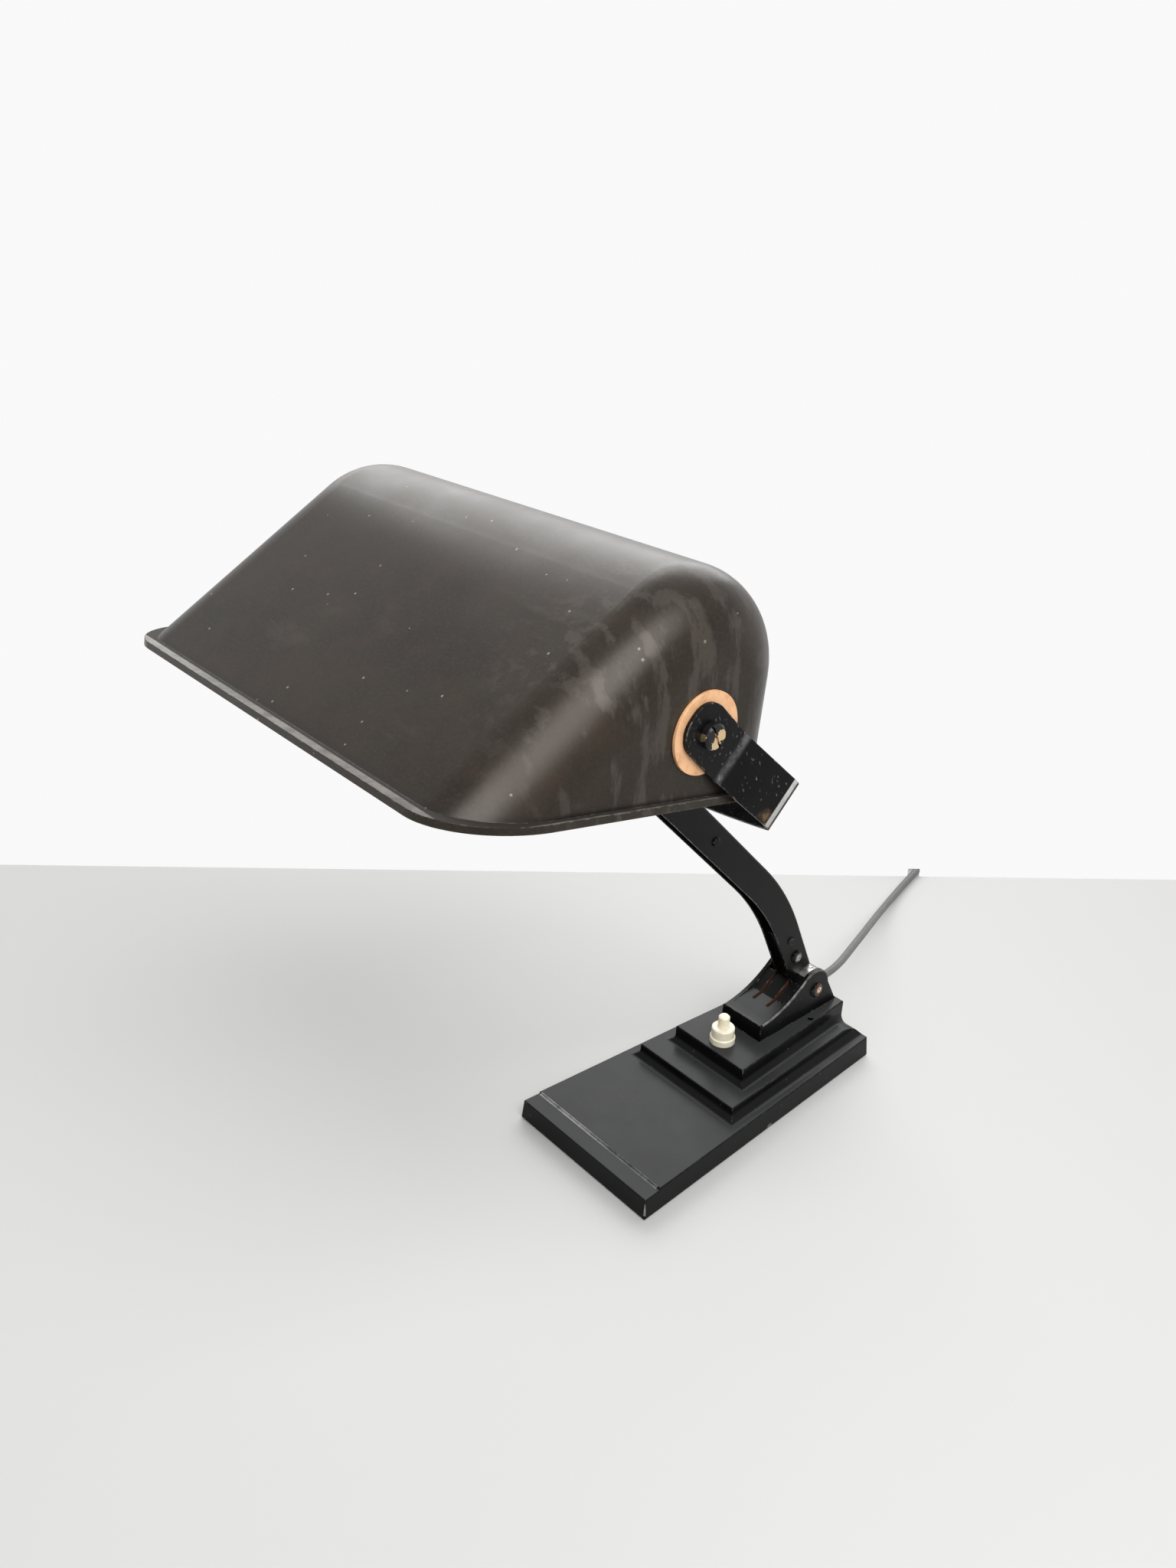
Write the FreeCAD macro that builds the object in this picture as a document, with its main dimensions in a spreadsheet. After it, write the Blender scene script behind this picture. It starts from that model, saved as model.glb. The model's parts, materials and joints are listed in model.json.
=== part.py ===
import FreeCAD, Part

import math
import os
import Sketcher
from FreeCAD import Rotation, Vector

# A desk lamp of the 1930s: a long moulded shade held at both ends by a bowed steel yoke, on a curved
# channel arm hinged to a stepped base with a push button. Lengths are millimetres, angles degrees.
# +X is the lamp's right, +Y its back, +Z up; the origin is the centre of the underside.

SIZES = {
    # Base casting
    "base_length": 201.0,
    "base_front_width": 100.6,
    "base_back_width": 77.6,
    "base_wall": 2.6,
    "base_lift": 0.8,
    "lip_length": 11.0,
    "lip_height": 12.5,
    "foot_draft_angle": 5.0,
    "plate_height": 13.6,
    "step_one_inset": 79.0,
    "step_one_front_ledge": 8.5,
    "step_one_back_ledge": 7.6,
    "step_one_height": 21.7,
    "step_one_cove": 5.0,
    "step_one_slope_run": 16.0,
    "step_two_inset": 97.6,
    "step_two_front_ledge": 9.4,
    "step_two_back_ledge": 10.9,
    "step_two_back_inset": 4.0,
    "step_two_height": 32.5,
    "step_two_cove": 4.5,
    "step_three_inset": 124.7,
    "step_three_width": 30.3,
    "step_three_height": 43.5,
    "step_edge_round": 0.7,
    "tread_hole_diameter": 3.6,
    "tread_hole_across": 19.3,
    "tread_hole_back_inset": 34.6,
    "least_cove_edge": 30.0,
    "cheek_front_flat": 2.2,
    "cheek_hollow_radius": 65.6,
    "cheek_back_inset": 6.0,
    "cheek_round": 1.4,
    "ramp_depth": 2.4,
    "ear_thickness": 3.0,
    "ear_radius": 14.0,
    "ear_shift": 2.0,
    "hinge_pocket_front": 13.4,
    "hinge_pocket_back": 13.6,
    "pocket_floor_gap": 0.8,
    "slot_width": 2.0,
    "slot_length": 20.5,
    "slot_floor_height": 40.0,
    "boss_diameter": 10.0,
    "boss_inset": 24.0,
    "overrun": 5.0,
    # Weight, cover and felt
    "weight_gap": 0.5,
    "cover_thickness": 1.2,
    "cover_gap": 0.3,
    "felt_thickness": 1.5,
    "felt_inset": 2.0,
    "cover_screw_diameter": 4.0,
    "cover_screw_length": 8.0,
    "cover_screw_head_diameter": 7.5,
    "cover_screw_head_height": 1.2,
    "screw_clearance": 0.2,
    "felt_hole_diameter": 11.0,
    # Push switch
    "switch_inset": 108.9,
    "collar_diameter": 15.0,
    "collar_foot_height": 4.1,
    "collar_top_diameter": 13.6,
    "collar_height": 10.1,
    "collar_roof": 1.4,
    "collar_chamfer": 0.6,
    "neck_diameter": 11.6,
    "neck_bore": 9.4,
    "neck_clearance": 0.1,
    "neck_top_gap": 0.4,
    "switch_body_diameter": 16.6,
    "switch_body_height": 17.0,
    "switch_floor": 3.0,
    "button_diameter": 6.7,
    "button_height": 17.9,
    "button_travel": 4.0,
    "button_clearance": 0.15,
    "button_dome": 1.0,
    "button_flange_diameter": 9.0,
    "button_flange_height": 1.6,
    "button_stem_diameter": 3.6,
    "button_stem_length": 10.0,
    "spring_wire": 0.7,
    "spring_diameter": 7.4,
    "spring_turns": 5.0,
    # Arm hinge
    "pin_offset": 73.8,
    "pin_height": 47.9,
    "pin_diameter": 5.6,
    "pin_clearance": 0.05,
    "pin_head_diameter": 9.2,
    "pin_head_height": 1.8,
    "knuckle_radius": 12.3,
    "knuckle_end_gap": 0.85,
    "washer_diameter": 20.0,
    "washer_thickness": 0.75,
    "tang_length": 50.0,
    "tang_front": 6.0,
    "tang_neck_front": 1.0,
    "tang_neck_length": 17.0,
    "tang_side_gap": 0.1,
    # Arm channel
    "arm_foot_angle": 26.0,
    "arm_upper_angle": 44.57,
    "arm_foot_run": 77.2,
    "arm_upper_run": 281.6,
    "arm_offset": 2.25,
    "arm_bend_radius": 177.0,
    "arm_depth": 18.3,
    "arm_width": 12.0,
    "arm_wall": 1.2,
    "arm_corner_round": 1.5,
    "arm_end_gap": 2.2,
    "foot_cut_radius": 13.2,
    "foot_screw_place": 27.1,
    "foot_rivet_place": 42.2,
    "keeper_place": 196.6,
    "foot_screw_diameter": 4.0,
    "foot_screw_head_diameter": 7.6,
    "foot_screw_head_height": 2.0,
    "rivet_diameter": 3.0,
    "rivet_head_diameter": 5.2,
    "rivet_head_height": 1.2,
    # Arm head and yoke
    "head_length": 20.0,
    "head_plate_thickness": 2.0,
    "head_plate_height": 19.0,
    "head_screw_spread": 5.0,
    "head_screw_diameter": 3.6,
    "head_screw_head_diameter": 6.4,
    "head_screw_head_height": 1.6,
    "head_screw_length": 16.0,
    "yoke_reach": 78.0,
    "yoke_bow_radius": 312.0,
    "yoke_flare": 9.25,
    "yoke_width": 20.6,
    "yoke_end_reach": 12.0,
    "yoke_end_round": 9.2,
    "yoke_thickness": 1.6,
    "yoke_fold_radius": 4.6,
    "yoke_crease_place": 16.5,
    "yoke_crease_radius": 6.0,
    # Shade, in its own axes: across, deep and high, from the middle of its rim
    "shade_length": 236.0,
    "shade_depth": 150.5,
    "shade_front_angle": 48.0,
    "shade_back_angle": 5.5,
    "shade_top_radius": 40.0,
    "shade_end_radius": 24.7,
    "shade_wall": 3.0,
    "shade_lip_width": 2.4,
    "shade_lip_height": 2.8,
    "shade_tilt": 10.4,
    "pivot_depth": 26.6,
    "pivot_height": 27.7,
    # Shade pivots
    "ring_diameter": 31.0,
    "ring_thickness": 1.2,
    "ring_gap": 0.15,
    "pivot_diameter": 5.8,
    "pivot_clearance": 0.08,
    "pivot_head_diameter": 10.0,
    "nipple_head_diameter": 12.6,
    "pivot_head_height": 3.2,
    "pivot_head_round": 0.8,
    "pivot_slot_width": 0.9,
    "pivot_slot_depth": 1.0,
    "pivot_slot_angle": -65.0,
    "inner_washer_diameter": 18.0,
    "inner_washer_thickness": 0.8,
    "nut_diameter": 13.0,
    "nut_height": 5.0,
    "nipple_diameter": 9.8,
    "nipple_bore": 6.6,
    # Lampholder and bulb
    "holder_cap_diameter": 34.0,
    "holder_cap_length": 14.0,
    "holder_shell_diameter": 39.0,
    "holder_shell_length": 31.0,
    "holder_wall": 2.2,
    "holder_cap_face_inset": 7.6,
    "holder_cap_shoulder_inset": 1.7,
    "holder_cap_shoulder_drop": 4.2,
    "holder_cap_side_drop": 8.4,
    "holder_cap_room_drop": 7.7,
    "holder_seat_thickness": 5.0,
    "sleeve_diameter": 28.6,
    "sleeve_wall": 0.5,
    "sleeve_length": 20.0,
    "bulb_cap_diameter": 26.4,
    "bulb_cap_length": 22.0,
    "bulb_contact_gap": 1.0,
    "bulb_cap_shoulder_drop": 3.3,
    "bulb_contact_inset": 6.6,
    "bulb_neck_radius": 12.6,
    "bulb_diameter": 50.0,
    "bulb_length": 70.0,
    # Cord, its bush, coil, tie and plug
    "cord_diameter": 5.0,
    "cord_clearance": 0.1,
    "bush_place_height": 38.2,
    "bush_diameter": 6.8,
    "bush_flange_diameter": 8.0,
    "bush_flange_length": 1.0,
    "bush_nose_diameter": 6.0,
    "bush_nose_length": 8.0,
    "coil_middle_radius": 27.5,
    "coil_step": 5.5,
    "coil_turns_a_layer": 3.875,
    "coil_climb_turns": 0.5,
    "coil_layers": 2.0,
    "coil_tail_length": 20.0,
    "tie_thickness": 0.6,
    "tie_width": 5.0,
    "tie_gap": 0.4,
    "tie_turn": 0.625,
    "tie_corner_round": 1.5,
    "plug_length": 36.0,
    "plug_width": 35.0,
    "plug_neck_width": 15.0,
    "plug_round": 2.5,
    "plug_relief_length": 18.0,
    "plug_relief_diameter": 9.0,
    "plug_relief_tip_diameter": 6.4,
    "plug_pin_spread": 18.6,
    "plug_pin_diameter": 4.0,
    "plug_pin_length": 19.0,
    "plug_pin_seat": 10.0,
    "plug_pin_tip": 1.2,
}

doc = FreeCAD.newDocument("desk_lamp")
sheet = doc.addObject("Spreadsheet::Sheet", "sizes")
for row, (word, number) in enumerate(SIZES.items(), 1):
    sheet.set(f"A{row}", word)
    sheet.set(f"B{row}", str(number))
    sheet.setAlias(f"B{row}", word)
doc.recompute()


PLUG_SHOULDER_SHARE = 0.45
# Where the cheek's hollow meets the ear's circle, in ear radii in front of its middle and above it
EAR_JOIN_SHARES = (0.643, 0.766)
# Corners of the ramp between the cheeks, as shares of its run and rise
RAMP_SHARES = ((0.13, 0.02), (0.48, 0.2), (0.765, 0.76))
# The bulb's neck curve: how much the waist is wider, how far it lies on, and where the ball begins
WAIST_WIDTH_SHARE = 1.12
WAIST_DROP_SHARE = 0.45
BALL_START_SHARE = 1.75
CORD_ARC_SHARE = 0.45
NUT_SIDES = 6
GAP_POINTS_AN_ARC = 5


class Size:
    """A length with its number and the sheet expression that gives it."""

    def __init__(self, number, text):
        self.number = float(number)
        self.text = text

    def joined(self, other, sign, number):
        other = as_size(other)
        return Size(number(self.number, other.number), f"({self.text} {sign} {other.text})")

    def __add__(self, other):
        return self.joined(other, "+", lambda a, b: a + b)

    def __sub__(self, other):
        return self.joined(other, "-", lambda a, b: a - b)

    def __mul__(self, other):
        return self.joined(other, "*", lambda a, b: a * b)

    def __truediv__(self, other):
        return self.joined(other, "/", lambda a, b: a / b)

    def __rsub__(self, other):
        return as_size(other) - self

    def __neg__(self):
        return Size(-self.number, f"(0 - {self.text})")

    def __float__(self):
        return self.number


def as_size(value):
    return value if isinstance(value, Size) else Size(value, repr(value))


class Sheet:
    """Reads a named size from the sheet, as a Size."""

    def __getattr__(self, word):
        return Size(sheet.get(word), f"sizes.{word}")


s = Sheet()
NONE = as_size(0.0)


def number(word):
    return float(sheet.get(word))


# Helpers for bodies, outlines and features


def new_body(label):
    body = doc.addObject("PartDesign::Body", label)
    body.Label = label
    return body


def place(body, x=NONE, y=NONE, z=NONE, turn=None):
    """Binds a body's place to the sheet, after an optional fixed turn."""
    body.Placement = FreeCAD.Placement(Vector(float(x), float(y), float(z)), turn or Rotation())
    for axis, size in zip("xyz", (x, y, z)):
        body.setExpression(f"Placement.Base.{axis}", as_size(size).text)


def new_sketch(body, name, role):
    sketch = body.newObject("Sketcher::SketchObject", name)
    plane = next(f for f in body.Origin.OriginFeatures if f.Role == role)
    sketch.AttachmentSupport = [(plane, "")]
    sketch.MapMode = "FlatFace"
    return sketch


def bind_point(sketch, edge, end, x, y):
    for kind, size, axis in (("DistanceX", as_size(x), -2), ("DistanceY", as_size(y), -1)):
        if size.text == NONE.text:
            sketch.addConstraint(Sketcher.Constraint("PointOnObject", edge, end, axis))
            continue
        made = sketch.addConstraint(Sketcher.Constraint(kind, -1, 1, edge, end, size.number))
        sketch.setExpression(f"Constraints[{made}]", size.text)


def left_arc(start, end, radius):
    """The short arc from start to end that turns left, its middle on that side."""
    chord = end - start
    half = chord.Length / 2
    left = Vector(-chord.y, chord.x, 0).normalize()
    centre = (start + end) * 0.5 + left * math.sqrt(radius**2 - half**2)
    whole = Part.Circle(centre, Vector(0, 0, 1), radius)
    return Part.ArcOfCircle(whole, whole.parameter(start), whole.parameter(end))


def outline(body, name, role, corners, arcs=None):
    """A closed outline, each corner bound to the sheet; arcs gives the radius of each round edge."""
    sketch = new_sketch(body, name, role)
    count = len(corners)
    arcs = arcs or {}
    for index in range(count):
        start = Vector(*(float(c) for c in corners[index]), 0)
        end = Vector(*(float(c) for c in corners[(index + 1) % count]), 0)
        if index in arcs:
            sketch.addGeometry(left_arc(start, end, float(arcs[index])))
        else:
            sketch.addGeometry(Part.LineSegment(start, end))
    for index in range(count):
        sketch.addConstraint(Sketcher.Constraint("Coincident", index, 2, (index + 1) % count, 1))
    for index, (x, y) in enumerate(corners):
        bind_point(sketch, index, 1, x, y)
    for index, radius in arcs.items():
        made = sketch.addConstraint(Sketcher.Constraint("Radius", index, float(radius)))
        sketch.setExpression(f"Constraints[{made}]", radius.text)
    return sketch


def circle(body, name, role, x, y, diameter):
    sketch = new_sketch(body, name, role)
    sketch.addGeometry(Part.Circle(Vector(float(x), float(y), 0), Vector(0, 0, 1), float(diameter) / 2))
    bind_point(sketch, 0, 3, x, y)
    made = sketch.addConstraint(Sketcher.Constraint("Diameter", 0, float(diameter)))
    sketch.setExpression(f"Constraints[{made}]", as_size(diameter).text)
    return sketch


def feature(body, kind, name, sketch, length, middle=False, backwards=False):
    made = body.newObject(f"PartDesign::{kind}", name)
    made.Profile = sketch
    made.setExpression("Length", as_size(length).text)
    made.Midplane = middle
    made.Reversed = backwards
    sketch.Visibility = False
    return made


def pad(body, name, sketch, length, middle=False, backwards=False):
    return feature(body, "Pad", name, sketch, length, middle, backwards)


def pocket(body, name, sketch, length, middle=False, backwards=False):
    return feature(body, "Pocket", name, sketch, length, middle, backwards)


def round_edges(body, name, radius, wanted):
    """Rounds the edges of the body's last feature that wanted(edge) picks."""
    doc.recompute()
    base = body.Tip
    picked = [f"Edge{n}" for n, edge in enumerate(base.Shape.Edges, 1) if wanted(edge)]
    if not picked:
        raise ValueError(f"{name} finds no edge")
    made = body.newObject("PartDesign::Fillet", name)
    made.Base = (base, picked)
    made.setExpression("Radius", as_size(radius).text)
    return made


def draft_foot(body, name, angle):
    """Leans the sides of the body's foot outward to the table, as a casting leaves its mould."""
    doc.recompute()
    base = body.Tip
    faces = base.Shape.Faces
    sides = []
    for place_in_list, face in enumerate(faces, 1):
        upright = near(face.normalAt(0, 0).z, 0)
        if upright and near(face.BoundBox.ZMin, 0):
            sides.append(f"Face{place_in_list}")
    tops = [face.BoundBox.ZMin for face in faces]
    made = body.newObject("PartDesign::Draft", name)
    made.Base = (base, sides)
    made.NeutralPlane = (base, [f"Face{tops.index(max(tops)) + 1}"])
    made.Angle = angle
    return made


def turned(label, profile):
    """A body turned about its own Z axis from (radius, height) corners."""
    body = new_body(label)
    sketch = outline(body, f"{label}_profile", "XZ_Plane", profile)
    made = body.newObject("PartDesign::Revolution", f"{label}_turn")
    made.Profile = sketch
    made.ReferenceAxis = (sketch, ["V_Axis"])
    made.Angle = 360
    return body


def shaped(label, shape, placement=None):
    made = doc.addObject("Part::Feature", label)
    made.Label = label
    made.Shape = shape
    if placement:
        made.Placement = placement
    return made


TOLERANCE = 1e-3
TO_RIGHT = Rotation(Vector(0, 1, 0), 90)
TO_LEFT = Rotation(Vector(0, 1, 0), -90)
TO_BACK = Rotation(Vector(1, 0, 0), -90)


def near(a, b):
    return abs(float(a) - float(b)) < TOLERANCE


def level(edge, height):
    return near(edge.BoundBox.ZMin, height) and near(edge.BoundBox.ZMax, height)


# Base: a hollow stepped casting with two hinge ears, coved at the foot of each step

half_length = s.base_length / 2
front = -half_length
back = half_length


def width_between(front_width, back_width, inset, front_inset=NONE, back_inset=NONE):
    """The width, at inset behind the front edge, of a plan that tapers between its two ends."""
    share = (inset - front_inset) / (s.base_length - back_inset - front_inset)
    return front_width - (front_width - back_width) * share


step_one_front = width_between(s.base_front_width, s.base_back_width, s.step_one_inset)
step_one_front = step_one_front - s.step_one_front_ledge * 2
step_one_back = s.base_back_width - s.step_one_back_ledge * 2
step_two_front = width_between(step_one_front, step_one_back, s.step_two_inset, s.step_one_inset)
step_two_front = step_two_front - s.step_two_front_ledge * 2
step_two_end = s.base_length - s.step_two_back_inset
step_two_back = width_between(step_one_front, step_one_back, step_two_end, s.step_one_inset)
step_two_back = step_two_back - s.step_two_back_ledge * 2


def tapered(body, name, inset, front_width, back_width, back_inset=NONE):
    """A tapered plan, from inset behind the front edge to the back."""
    return outline(
        body,
        name,
        "XY_Plane",
        [
            (-(front_width / 2), front + inset),
            (front_width / 2, front + inset),
            (back_width / 2, back - back_inset),
            (-(back_width / 2), back - back_inset),
        ],
    )


def lifted(height):
    """A height above the table, in the casting's own axes."""
    return height - s.base_lift


def foot_edges(height, inset):
    """Picks the inner corner at the foot of a step, on its front and two sides."""

    def wanted(edge):
        box = edge.BoundBox
        inside = box.YMin > float(front + inset) - TOLERANCE
        flat_back = near(box.YMin, box.YMax) and box.YMin > 0
        long_enough = edge.Length > number("least_cove_edge")
        return level(edge, float(lifted(height))) and inside and not flat_back and long_enough

    return wanted


def plate_outer_edges(edge):
    """The plate's and the lip's outer top edges and the front corners, but not the step between."""
    box = edge.BoundBox
    if near(box.YMin, box.YMax) and box.YMin > float(front + s.lip_length) - TOLERANCE:
        return near(box.YMin, front + s.lip_length) and level(edge, float(lifted(s.plate_height)))
    return not near(box.ZMin, 0) or box.ZLength > float(s.lip_height) / 2


def top_edges(height):
    return lambda edge: level(edge, float(lifted(height)))


def hollow(body, name, inset, front_width, back_width, height, back_inset):
    wall = s.base_wall
    sketch = tapered(
        body, name, inset + wall, front_width - wall * 2, back_width - wall * 2, back_inset + wall
    )
    return pocket(body, f"{name}_cut", sketch, lifted(height) - wall, backwards=True)


def cheek_corners():
    """The hinge cheek seen from the right: a hollow rise up to the ear, and a slope down behind it."""
    start = front + s.step_three_inset
    ear_middle = s.pin_offset - s.ear_shift
    forward, up = (s.ear_radius * share for share in EAR_JOIN_SHARES)
    return [
        (start, NONE),
        (start, lifted(s.step_three_height)),
        (start + s.cheek_front_flat, lifted(s.step_three_height)),
        (ear_middle - forward, lifted(s.pin_height + up)),
        (ear_middle, lifted(s.pin_height)),
        (ear_middle + s.ear_radius, lifted(s.pin_height)),
        (back - s.cheek_back_inset, lifted(s.step_two_height)),
        (back - s.cheek_back_inset, NONE),
    ]


CHEEK_HOLLOW = 2


def cheek_outer_edges(edge):
    """The upper outer edges of the hinge cheeks, in front of the ears and round them."""
    box = edge.BoundBox
    outside = near(box.XMin, box.XMax) and near(abs(box.XMin), s.step_three_width / 2)
    forward = box.YMax < float(s.pin_offset - s.ear_shift + s.ear_radius) + TOLERANCE
    above = box.ZMin > float(lifted(s.step_three_height)) - TOLERANCE
    return outside and forward and above


def ramp_corners():
    """The space between the cheeks: over the ramp, and down to the floor round the hinge."""
    run = s.pin_offset - s.ear_shift - (front + s.step_three_inset)
    rise = s.pin_height + s.ear_radius - s.step_three_height - s.ramp_depth
    start = front + s.step_three_inset
    floor = lifted(s.step_two_height + s.pocket_floor_gap)
    top = lifted(s.pin_height + s.ear_radius + s.overrun)
    corners = [(start + run * y, lifted(s.step_three_height + rise * z)) for y, z in RAMP_SHARES]
    corners[-1] = (s.pin_offset - s.hinge_pocket_front, corners[-1][1])
    corners += [
        (s.pin_offset - s.hinge_pocket_front, floor),
        (s.pin_offset + s.hinge_pocket_back, floor),
        (s.pin_offset + s.hinge_pocket_back, top),
        (corners[0][0], top),
    ]
    return corners


def base_shell():
    body = new_body("base_shell")
    plan = tapered(body, "lip_plan", NONE, s.base_front_width, s.base_back_width)
    pad(body, "lip", plan, lifted(s.lip_height))
    lip_width = width_between(s.base_front_width, s.base_back_width, s.lip_length)
    plan = tapered(body, "plate_plan", s.lip_length, lip_width, s.base_back_width)
    pad(body, "plate", plan, lifted(s.plate_height))
    draft_foot(body, "foot_draft", number("foot_draft_angle"))
    round_edges(body, "plate_rounds", s.step_edge_round, plate_outer_edges)
    plan = tapered(body, "step_one_plan", s.step_one_inset, step_one_front, step_one_back)
    pad(body, "step_one", plan, lifted(s.step_one_height))
    round_edges(body, "step_one_rounds", s.step_edge_round, top_edges(s.step_one_height))
    round_edges(body, "cove_one", s.step_one_cove, foot_edges(s.plate_height, s.step_one_inset))
    drop = s.step_one_height - s.plate_height
    slope_radius = (s.step_one_slope_run * s.step_one_slope_run + drop * drop) / (drop * 2)
    slope = outline(
        body,
        "back_slope_side",
        "YZ_Plane",
        [
            (back, lifted(s.plate_height)),
            (back - s.step_one_slope_run, lifted(s.step_one_height)),
            (back + s.overrun, lifted(s.step_one_height)),
            (back + s.overrun, lifted(s.plate_height)),
        ],
        {0: slope_radius},
    )
    pocket(body, "back_slope", slope, s.base_front_width, middle=True)
    plan = tapered(
        body,
        "step_two_plan",
        s.step_two_inset,
        step_two_front,
        step_two_back,
        s.step_two_back_inset,
    )
    pad(body, "step_two", plan, lifted(s.step_two_height))
    round_edges(body, "step_two_rounds", s.step_edge_round, top_edges(s.step_two_height))
    round_edges(body, "cove_two", s.step_two_cove, foot_edges(s.step_one_height, s.step_two_inset))
    doc.recompute()
    hollow_arc = {CHEEK_HOLLOW: s.cheek_hollow_radius}
    cheek = outline(body, "cheek_side", "YZ_Plane", cheek_corners(), hollow_arc)
    pad(body, "cheeks", cheek, s.step_three_width, middle=True)
    ear = circle(
        body,
        "ear_side",
        "YZ_Plane",
        s.pin_offset - s.ear_shift,
        lifted(s.pin_height),
        s.ear_radius * 2,
    )
    pad(body, "ears", ear, s.step_three_width, middle=True)
    round_edges(body, "cheek_rounds", s.cheek_round, cheek_outer_edges)
    between = s.step_three_width - s.ear_thickness * 2
    pocket(body, "hinge_space", outline(body, "hinge_side", "YZ_Plane", ramp_corners()), between, middle=True)
    hollow(body, "room_plate", NONE, s.base_front_width, s.base_back_width, s.lip_height, NONE)
    hollow(
        body,
        "room_one",
        s.step_one_inset,
        step_one_front,
        step_one_back,
        s.step_one_height,
        s.step_one_slope_run,
    )
    hollow(
        body,
        "room_two",
        s.step_two_inset,
        step_two_front,
        step_two_back,
        s.step_two_height,
        s.step_two_back_inset,
    )
    for side, sign in (("left", -1), ("right", 1)):
        middle = (s.arm_width / 2 - s.arm_wall / 2) * sign
        slot_end = s.pin_offset - s.hinge_pocket_front + s.overrun
        slot = outline(
            body,
            f"slot_{side}_plan",
            "XY_Plane",
            [
                (middle - s.slot_width / 2, slot_end - s.overrun - s.slot_length),
                (middle + s.slot_width / 2, slot_end - s.overrun - s.slot_length),
                (middle + s.slot_width / 2, slot_end),
                (middle - s.slot_width / 2, slot_end),
            ],
        )
        floor = lifted(s.slot_floor_height)
        slot.AttachmentOffset = FreeCAD.Placement(Vector(0, 0, float(floor)), Rotation())
        slot.setExpression("AttachmentOffset.Base.z", floor.text)
        pocket(body, f"slot_{side}", slot, s.ear_radius * 2, backwards=True)
    for end, y, roof in (
        ("front", front + s.boss_inset, s.lip_height),
        ("back", back - s.boss_inset, s.step_two_height),
    ):
        boss = circle(body, f"boss_{end}_plan", "XY_Plane", NONE, y, s.boss_diameter)
        seat = lifted(s.felt_thickness + s.cover_thickness)
        boss.AttachmentOffset = FreeCAD.Placement(Vector(0, 0, float(seat)), Rotation())
        boss.setExpression("AttachmentOffset.Base.z", seat.text)
        pad(body, f"boss_{end}", boss, lifted(roof) - seat)
        bore = circle(body, f"boss_{end}_bore", "XY_Plane", NONE, y, s.cover_screw_diameter)
        pocket(body, f"boss_{end}_hole", bore, seat + s.cover_screw_length, backwards=True)
    neck = circle(
        body, "neck_plan", "XY_Plane", NONE, front + s.switch_inset, s.neck_diameter + s.neck_clearance * 2
    )
    pocket(body, "neck_hole", neck, s.step_two_height + s.overrun, backwards=True)
    pin = circle(body, "pin_side", "YZ_Plane", s.pin_offset, lifted(s.pin_height), s.pin_diameter)
    pocket(body, "pin_hole", pin, s.step_three_width + s.overrun, middle=True)
    tread = circle(
        body,
        "tread_plan",
        "XY_Plane",
        s.tread_hole_across,
        back - s.tread_hole_back_inset,
        s.tread_hole_diameter,
    )
    tread_foot = lifted(s.step_two_height - s.base_wall)
    tread.AttachmentOffset = FreeCAD.Placement(Vector(0, 0, float(tread_foot)), Rotation())
    tread.setExpression("AttachmentOffset.Base.z", tread_foot.text)
    pocket(body, "tread_hole", tread, s.base_wall + s.overrun, backwards=True)
    bush = circle(body, "bush_plan", "XZ_Plane", NONE, lifted(s.bush_place_height), s.bush_diameter)
    bush.AttachmentOffset = FreeCAD.Placement(Vector(0, 0, -float(s.pin_offset)), Rotation())
    bush.setExpression("AttachmentOffset.Base.z", (-s.pin_offset).text)
    pocket(body, "bush_hole", bush, half_length, backwards=False)
    place(body, z=s.base_lift)
    return body


def base_weight():
    """An iron slab that fills the foot of the casting, drilled for its two bosses."""
    body = new_body("base_weight")
    inset = s.base_wall + s.weight_gap
    plan = tapered(
        body, "weight_plan", inset, s.base_front_width - inset * 2, s.base_back_width - inset * 2, inset
    )
    low = s.felt_thickness + s.cover_thickness
    height = s.lip_height - s.base_wall - s.weight_gap - low
    pad(body, "weight", plan, height)
    for end, y in (("front", front + s.boss_inset), ("back", back - s.boss_inset)):
        bore = circle(body, f"weight_{end}_bore", "XY_Plane", NONE, y, s.boss_diameter + s.weight_gap)
        pocket(body, f"weight_{end}_hole", bore, height, backwards=True)
    place(body, z=low)
    return body


def bottom_cover():
    body = new_body("bottom_cover")
    inset = s.base_wall + s.cover_gap
    plan = tapered(
        body, "cover_plan", inset, s.base_front_width - inset * 2, s.base_back_width - inset * 2, inset
    )
    pad(body, "cover", plan, s.cover_thickness)
    for end, y in (("front", front + s.boss_inset), ("back", back - s.boss_inset)):
        wide = s.cover_screw_diameter + s.screw_clearance
        bore = circle(body, f"cover_{end}_bore", "XY_Plane", NONE, y, wide)
        pocket(body, f"cover_{end}_hole", bore, s.cover_thickness, backwards=True)
    place(body, z=s.felt_thickness)
    return body


def felt_pad():
    body = new_body("felt_pad")
    inset = s.base_wall + s.felt_inset
    plan = tapered(
        body, "felt_plan", inset, s.base_front_width - inset * 2, s.base_back_width - inset * 2, inset
    )
    pad(body, "felt", plan, s.felt_thickness)
    for end, y in (("front", front + s.boss_inset), ("back", back - s.boss_inset)):
        bore = circle(body, f"felt_{end}_bore", "XY_Plane", NONE, y, s.felt_hole_diameter)
        pocket(body, f"felt_{end}_hole", bore, s.felt_thickness, backwards=True)
    return body


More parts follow.
